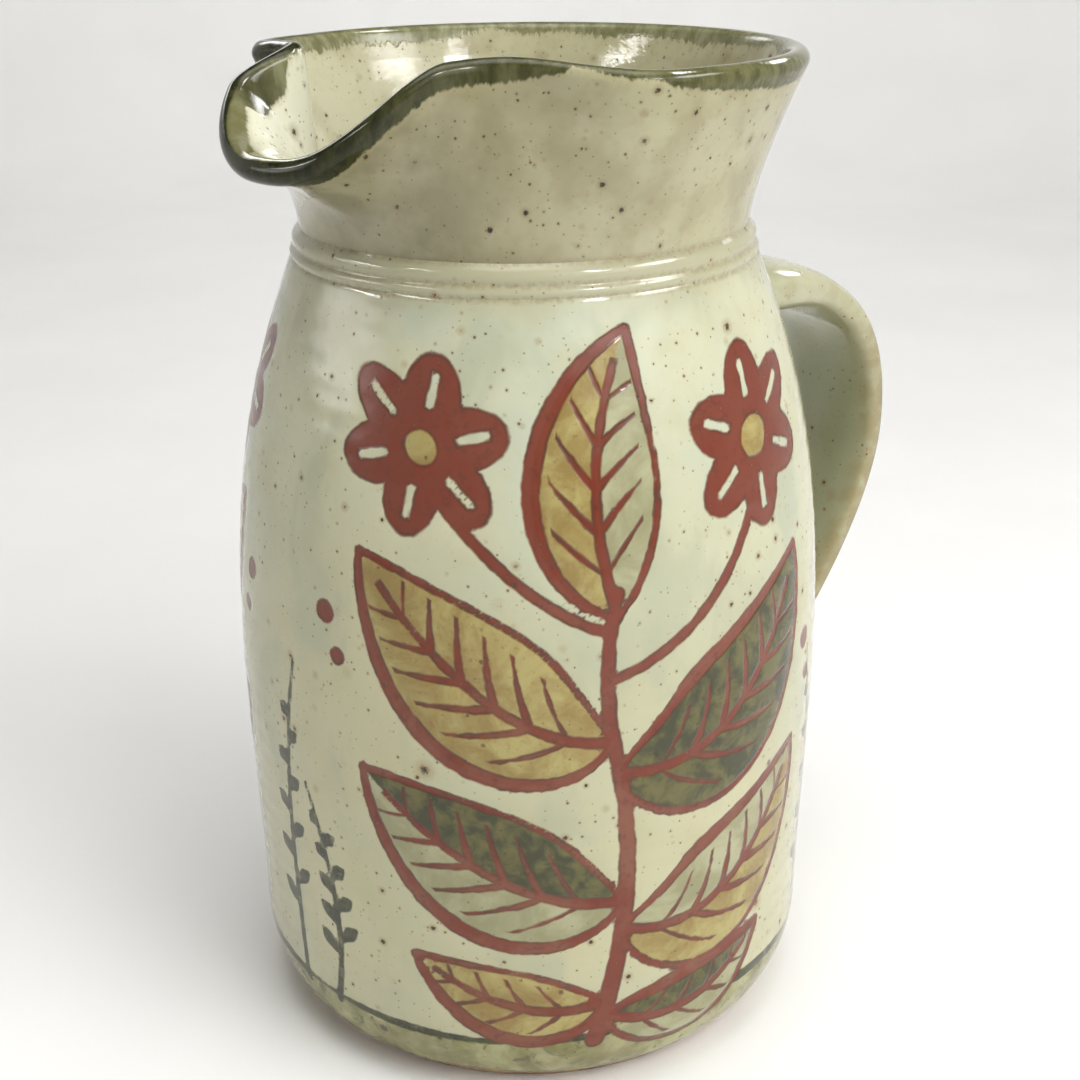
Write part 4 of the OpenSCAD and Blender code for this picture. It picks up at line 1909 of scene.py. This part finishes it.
        # where painted shade blackens the lip around the spout; inside it, the real dark blot takes its
        # place
        spout_shade_and_blot = step(*self.spout_shade_start, angle) * (1 - step(*self.spout_shade_end, angle))
        blot = self.blot * swell((angle - self.blot_angle) / self.blot_half)
        return {
            "lip": lip,
            "band": np.abs(lip) - band,
            "tip": swell(angle / self.tip_half),
            "spout_sheen": spout_sheen * (1 - step(*self.spout_sheen_end, angle)) * (lip < 0),
            "stain_and_shade": np.where(lip > 0, stain_and_shade, 0.0),
            "spout_shade_and_blot": np.where(lip > self.spout_shade_inside, spout_shade_and_blot, blot),
        }

    def pulled(self, name: str, profile: np.ndarray, columns: int) -> Piece:
        """Turns a profile on the straight collar, pulls it into shape and makes it a piece.

        Args:
            name: Name of the piece.
            profile: The profile in (radius, height).
            columns: Steps of the turn.

        Returns:
            The piece, with what its finish reads.
        """
        f = self.form
        bm = turned(profile, columns)
        p = corners(bm)
        marks = self.marks(np.degrees(np.arctan2(-p[:, 1], -p[:, 0])), self.lip_distance(p))
        r = np.hypot(p[:, 0], p[:, 1])
        dip = np.where(r > f.neck_d / 2 + f.neck_t / 2 - self.skin, f.crease * f.crease_at(p[:, 2]), 0.0)
        p[:, :2] *= (1 - dip / np.maximum(r, 1.0))[:, None]
        move_corners(bm, f.pull(p))
        piece = as_piece(name, bm)
        for mark, values in marks.items():
            give(piece, mark, values)
        return piece

    def build(self) -> None:
        """Makes and dresses the clay, the coats and the liner."""
        f = self.form
        profile = self.over(self.clay, f.body_h, self.clay_row, self.clay_lip_rows)
        clay = self.pulled("neck_clay", profile, self.clay_columns)
        seat(clay, "neck", BareClay("neck_clay").material())
        liner = CollarGlaze("liner_glaze", self.tones, warmth=0.5, speckle=1.0, speck_room=0.68)
        neck = replace(liner, name="neck_glaze", grooves=(f.body_h,))
        rim = replace(liner, name="rim_glaze", shine=(0.03, 0.075), mirror=0.25)
        coats = (
            ("neck_coat", self.neck_profile(), neck),
            ("rim_coat", self.rim_profile(), rim),
            ("liner_coat", self.liner_profile(), liner),
        )
        for name, profile, finish in coats:
            seat(self.pulled(name, profile, self.columns), finish.name, finish.material())


@dataclass(frozen=True)
class Handle:
    """The pulled strap with its spread roots: clay, and the coat around it."""

    form: JugForm
    # painted shade: a darker copy of the body's pale glaze, because the strap stands in shade
    tones: GlazeTones = GlazeTones(
        pale=(0.48, 0.475, 0.32),
        cool=(0.45, 0.46, 0.32),
        warm=(0.26, 0.205, 0.09),
    )
    handle_drop: float = 25.5
    handle_foot: float = 58.0
    finger_gap: float = 36.7
    handle_elbow: float = 46.0
    handle_spring: float = 37.0
    upper_fall: float = 28.0
    lower_fall: float = 26.0
    tail_out: float = 14.5
    tail_up: float = 12.0
    strap_w_top: float = 35.5
    strap_w_low: float = 27.0
    strap_t_top: float = 11.5
    strap_t_low: float = 8.5
    root_spread: float = 8.0
    root_swell: float = 3.0
    root_share: float = 0.2
    root_run: float = 100.0
    strap_power: float = 3.0
    fillet: float = 5.0
    sides: int = 72
    rows: int = 190
    side_crowd: float = 0.175
    root_crowd: float = 0.8
    search: Range = (-0.25, 1.25)
    search_steps: int = 3000
    weld: float = 1e-4
    crisp: float = 50.0
    worn: Range = (0.6, 0.98)
    worn_less: float = 0.8
    worn_root: Range = (146.0, 178.0)
    narrowing: Range = (190.0, 60.0)
    shaded: Range = (0.2, 0.8)

    def path(self, u: np.ndarray) -> tuple[np.ndarray, np.ndarray]:
        """The strap's middle; below 0 and above 1 it runs on into the body.

        Args:
            u: Shares of the length.

        Returns:
            Places and unit directions in (radius, height).
        """
        f = self.form
        top_z = f.body_h - self.handle_drop
        top = np.array([float(f.radius_at(top_z)), top_z])
        low = np.array([float(f.radius_at(self.handle_foot)), self.handle_foot])
        middle_r = f.belly_d / 2 + self.finger_gap + (self.strap_t_top + self.strap_t_low) / 4
        mid = np.array([middle_r, top_z - self.handle_elbow])
        upper = [top, top + (self.handle_spring, 0), mid + (0, self.upper_fall), mid]
        lower = [mid, mid - (0, self.lower_fall), low + (self.tail_out, self.tail_up), low]
        t1, t2 = np.clip(2 * u, 0, 1), np.clip(2 * u - 1, 0, 1)
        first = (u < 0.5)[..., None]
        place = np.where(first, bezier(upper, t1), bezier(lower, t2))
        along = np.where(first, bezier_slope(upper, t1), bezier_slope(lower, t2))
        on = np.where(u < 0, u, np.where(u > 1, u - 1, 0.0))[..., None]
        return place + along * on * self.root_run, along

    def section(self, u: np.ndarray, q: np.ndarray, inset: float) -> tuple[np.ndarray, np.ndarray]:
        """Points of the strap's skin.

        Args:
            u: Shares of the length.
            q: Angles around the section.
            inset: How far under the glazed surface.

        Returns:
            Points and directions away from the middle, of shape (..., 3).
        """
        place, along = self.path(u)
        share = np.clip(u, 0, 1)
        near = np.maximum(1 - step(0, self.root_share, share), step(1 - self.root_share, 1, share))
        wide = self.strap_w_top + (self.strap_w_low - self.strap_w_top) * share + self.root_spread * near
        thick = self.strap_t_top + (self.strap_t_low - self.strap_t_top) * share + self.root_swell * near
        s, c = np.sin(q), np.cos(q)
        power = 2 / self.strap_power
        side = (wide / 2 - inset) * np.sign(s) * np.abs(s) ** power
        out = (thick / 2 - inset) * np.sign(c) * np.abs(c) ** power
        r, z = place[..., 0] - out * along[..., 1], place[..., 1] + out * along[..., 0]
        point = np.stack([r, side, z], -1)
        k = self.strap_power - 1
        ns = np.sign(side) * np.abs(side / (wide / 2)) ** k / wide
        nt = np.sign(out) * np.abs(out / (thick / 2)) ** k / thick
        n = np.stack([-nt * along[..., 1], ns, nt * along[..., 0]], -1)
        return point, n / np.maximum(np.linalg.norm(n, axis=-1, keepdims=True), 1e-9)

    def lift(self, p: np.ndarray) -> np.ndarray:
        """Height of points over the glazed body, measured away from the axis."""
        return np.hypot(p[..., 0], p[..., 1]) - self.form.radius_at(p[..., 2])

    def ends(self, q: np.ndarray, inset: float) -> tuple[np.ndarray, np.ndarray]:
        """Where the strap leaves the body and meets it again.

        Args:
            q: Angles around the section.
            inset: How far under the glazed surface.

        Returns:
            Shares of the length at the first and the last end, one for each angle.
        """
        u = np.linspace(*self.search, self.search_steps + 1)
        lift = self.lift(self.section(*np.meshgrid(u, q, indexing="ij"), inset)[0])
        clear = lift > 0
        first = np.argmax(clear, axis=0) - 1
        last = len(u) - 1 - np.argmax(clear[::-1], axis=0)
        columns = np.arange(len(q))
        crossings = []
        for k in (first, last):
            share = lift[k, columns] / (lift[k, columns] - lift[k + 1, columns])
            crossings.append(u[k] + (u[k + 1] - u[k]) * share)
        return crossings[0], crossings[1]

    def skin(self, inset: float) -> np.ndarray:
        """The strap's skin, from root to root, its ends on the glazed body.

        Args:
            inset: How far under the glazed surface.

        Returns:
            Points of shape (rows + 1, sides + 1, 3).
        """
        q = np.linspace(0, 2 * np.pi, self.sides + 1)
        q = q - self.side_crowd * np.sin(2 * q)
        start, stop = self.ends(q, inset)
        v = np.linspace(0, 1, self.rows + 1)
        v = v - self.root_crowd * np.sin(2 * np.pi * v) / (2 * np.pi)
        at = start[None] + (stop - start)[None] * v[:, None]
        p, n = self.section(at, np.broadcast_to(q, at.shape), inset)
        h = np.maximum(self.lift(p), 0)
        reach = np.clip(1 - h / self.fillet, 0, 1)
        push = self.fillet * (1 - np.sqrt(1 - reach**2))
        p = p + n * push[..., None]
        want = self.form.radius_at(p[..., 2]) + h
        scale = np.where(reach > 0, want / np.hypot(p[..., 0], p[..., 1]), 1.0)
        p[..., :2] *= scale[..., None]
        return p

    def tube(self, inset: float) -> Mesh:
        """The open strap.

        Args:
            inset: How far under the glazed surface.

        Returns:
            The mesh, in millimetres.
        """
        bm = bmesh.new()
        bmesh.ops.create_grid(bm, x_segments=self.sides, y_segments=self.rows, size=1.0)
        flat = corners(bm)
        i = np.rint((flat[:, 1] + 1) / 2 * self.rows).astype(int)
        j = np.rint((flat[:, 0] + 1) / 2 * self.sides).astype(int)
        move_corners(bm, self.skin(inset)[i, j])
        bmesh.ops.remove_doubles(bm, verts=bm.verts, dist=self.weld)
        return bm

    def mark(self, piece: Piece) -> None:
        """Stores where the coat is worn along its edges, and where it faces the finger hole, which gets
        painted shade.

        Args:
            piece: The coat.
        """
        f = self.form
        at = np.array([v.co for v in piece.data.vertices]) / MM
        wide = self.strap_w_top + (self.strap_w_low - self.strap_w_top) * step(*self.narrowing, at[:, 2])
        worn = step(*self.worn, np.abs(at[:, 1]) / (wide / 2))
        give(piece, "edge", worn * (1 - self.worn_less * step(*self.worn_root, at[:, 2])))
        # how squarely each point faces the finger hole: the mask of the painted shade on the inner face
        hole_z = (f.body_h - self.handle_drop + self.handle_foot) / 2
        inward = np.array([f.belly_d / 2 + self.finger_gap / 4, hole_z]) - at[:, [0, 2]]
        inward /= np.linalg.norm(inward, axis=1, keepdims=True)
        facing = np.array([v.normal for v in piece.data.vertices])[:, [0, 2]]
        give(piece, "inner", step(*self.shaded, (facing * inward).sum(axis=1)))

    def build(self) -> None:
        """Makes and dresses the clay and the coat."""
        bm = self.tube(self.form.coat_t)
        bmesh.ops.holes_fill(bm, edges=[e for e in bm.edges if e.is_boundary], sides=0)
        bmesh.ops.recalc_face_normals(bm, faces=bm.faces)
        seat(as_piece("handle_clay", bm), "handle", BareClay("handle_clay").material())
        bm = self.tube(0.0)
        bmesh.ops.recalc_face_normals(bm, faces=bm.faces)
        bmesh.ops.solidify(bm, geom=bm.faces[:], thickness=self.form.coat_t)
        piece = as_piece("handle_coat", bm, self.crisp)
        self.mark(piece)
        finish = StrapGlaze("handle_glaze", self.tones, warmth=0.3, speckle=1.0, speck_room=0.8)
        seat(piece, "handle_glaze", finish.material())


class Use(Enum):
    """What a light is there for: the glow on what it meets, the glint in the glaze, or both."""

    BOTH = "both"
    GLOW = "glow"
    GLINT = "glint"


@dataclass(frozen=True)
class Lamp:
    """A soft light, an ellipse whose glow fades to its edges.

    Its place and its aim are a direction from the jug in degrees, 0 at the camera and 90 at its right,
    a rise in degrees and a distance in metres.
    """

    name: str
    place: Triple
    size: tuple[float, float]
    power: float
    use: Use = Use.BOTH
    aim: Triple = (0, 0, 0)
    tone: Colour = (1.0, 0.995, 0.985)
    fade: Range = (0.5, 0.12)
    middle: float = 2.39

    def light(self) -> bpy.types.AreaLight:
        """Makes the light.

        Returns:
            The light, its strength falling from the middle to the edge.
        """
        data = bpy.data.lights.new(self.name, "AREA")
        data.shape = "ELLIPSE"
        data.size, data.size_y = self.size
        data.energy = self.power
        data.color = self.tone
        data.use_nodes = True
        tree = data.node_tree
        place = tree.nodes.new("ShaderNodeNewGeometry").outputs["Parametric"]
        away = tree.nodes.new("ShaderNodeVectorMath")
        away.operation = "DISTANCE"
        away.inputs[1].default_value = (0.5, 0.5, 0)
        fade = tree.nodes.new("ShaderNodeMapRange")
        fade.interpolation_type = "SMOOTHSTEP"
        for socket, value in zip(fade.inputs[1:5], (*self.fade, 0.0, self.middle)):
            socket.default_value = value
        tree.links.new(place, away.inputs[0])
        tree.links.new(away.outputs["Value"], fade.inputs[0])
        tree.links.new(fade.outputs[0], tree.nodes["Emission"].inputs["Strength"])
        return data


@dataclass(frozen=True)
class Studio:
    """Pale floor with a round cove, soft lights, and the camera at the photograph's place, in metres."""

    floor_r: float = 1.15
    cove_r: float = 0.45
    cove_rows: int = 14
    wall_h: float = 1.25
    columns: int = 96
    lamps: tuple[Lamp, ...] = (
        Lamp("key", (50, 40, 1.05), (1.3, 1.3), 10.3, Use.GLOW),
        Lamp("sheen", (44, 36, 1.05), (1.3, 1.3), 4.0, Use.GLINT),
        Lamp("top", (0, 87, 1.1), (1.25, 1.25), 7.4),
        Lamp("window_left", (-60, 43, 1.19), (0.6, 0.07), 1.3, Use.GLINT),
        Lamp("window_right", (77, 42, 1.19), (0.74, 0.44), 5.0, Use.GLINT),
        Lamp("window_front", (38, 43, 1.19), (0.3, 0.36), 2.8, Use.GLINT),
        Lamp("window_side", (-86, 15, 1.2), (1.2, 0.5), 1.9, Use.GLINT),
        Lamp("window_low", (-84, 27, 1.2), (0.7, 0.12), 1.8, Use.GLINT),
        Lamp("window_back", (117, 60, 1.19), (0.7, 0.22), 5.0, Use.GLINT),
        Lamp("window_spout", (139, 30, 1.19), (0.5, 0.25), 2.2, Use.GLINT),
        Lamp("window_far", (-150, 30, 1.2), (0.8, 0.3), 1.6, Use.GLINT),
        Lamp("far_floor", (180, 40, 1.3), (0.9, 0.6), 2.3, Use.GLOW, (180, -3, 1.6)),
    )
    middle_z: float = 0.12
    room_tone: Colour = (1.0, 1.0, 0.99)
    room_light: float = 0.1
    lens: float = 55.4
    sensor: float = 36.0
    nearest: float = 0.02
    distance: float = 0.3946
    height: float = 0.2759
    turn: float = 38.0
    pitch: float = 21.813
    yaw: float = 0.4532
    roll: float = -0.5058

    def cove(self) -> None:
        """Makes the floor, which rises into a wall all round."""
        q = np.linspace(0, np.pi / 2, self.cove_rows)
        bend = np.stack([self.floor_r + self.cove_r * np.sin(q), self.cove_r * (1 - np.cos(q))], -1)
        line = np.concatenate([[[0, 0]], [[self.floor_r * 0.5, 0]], bend, [[bend[-1, 0], self.wall_h]]])
        floor = as_piece("floor", turned(line / MM, self.columns))
        floor.data.materials.append(PaleFloor().material())

    def spot(self, place: Triple) -> Vector:
        """A place in the room.

        Args:
            place: Direction, rise and distance, as in Lamp.

        Returns:
            The place, in metres.
        """
        azimuth, rise, away = place
        a, e = math.radians(azimuth - 90 - self.turn), math.radians(rise)
        ahead = Vector((math.cos(a) * math.cos(e), math.sin(a) * math.cos(e), math.sin(e)))
        return Vector((0, 0, self.middle_z)) + away * ahead

    def hang(self, lamp: Lamp) -> None:
        """Hangs a light.

        Args:
            lamp: The light.
        """
        item = bpy.data.objects.new(lamp.name, lamp.light())
        bpy.context.scene.collection.objects.link(item)
        item.visible_diffuse = lamp.use is not Use.GLINT
        item.visible_glossy = lamp.use is not Use.GLOW
        item.location = self.spot(lamp.place)
        item.rotation_mode = "QUATERNION"
        item.rotation_quaternion = (self.spot(lamp.aim) - item.location).to_track_quat("-Z", "Y")

    def camera(self) -> None:
        """Sets the camera."""
        data = bpy.data.cameras.new("camera")
        data.sensor_width = self.sensor
        data.lens = self.lens
        data.clip_start = self.nearest
        camera = bpy.data.objects.new("camera", data)
        bpy.context.scene.collection.objects.link(camera)
        spin = Matrix.Rotation(math.radians(-self.turn), 4, "Z")
        pitch, yaw = math.radians(self.pitch), math.radians(self.yaw)
        ahead = Vector((math.sin(yaw) * math.cos(pitch), math.cos(yaw) * math.cos(pitch), -math.sin(pitch)))
        look = ahead.to_track_quat("-Z", "Y").to_matrix().to_4x4()
        roll = Matrix.Rotation(math.radians(self.roll), 4, "Z")
        place = Matrix.Translation((0, -self.distance, self.height))
        camera.matrix_world = spin @ place @ look @ roll
        bpy.context.scene.camera = camera

    def build(self) -> None:
        """Makes the floor, the lights and the camera."""
        self.cove()
        for lamp in self.lamps:
            self.hang(lamp)
        world = bpy.data.worlds.new("studio")
        world.use_nodes = True
        room = world.node_tree.nodes["Background"]
        room.inputs["Color"].default_value = (*self.room_tone, 1)
        room.inputs["Strength"].default_value = self.room_light
        scene = bpy.context.scene
        scene.world = world
        scene.view_settings.view_transform = "Standard"
        self.camera()


def main() -> None:
    """Builds the studio and the jug's pieces in order."""
    logging.basicConfig(level=logging.INFO, format="%(name)s: %(message)s")
    form = JugForm()
    Studio().build()
    Body(form, Decoration()).build()
    Collar(form).build()
    Handle(form).build()


if __name__ == "__main__":
    main()
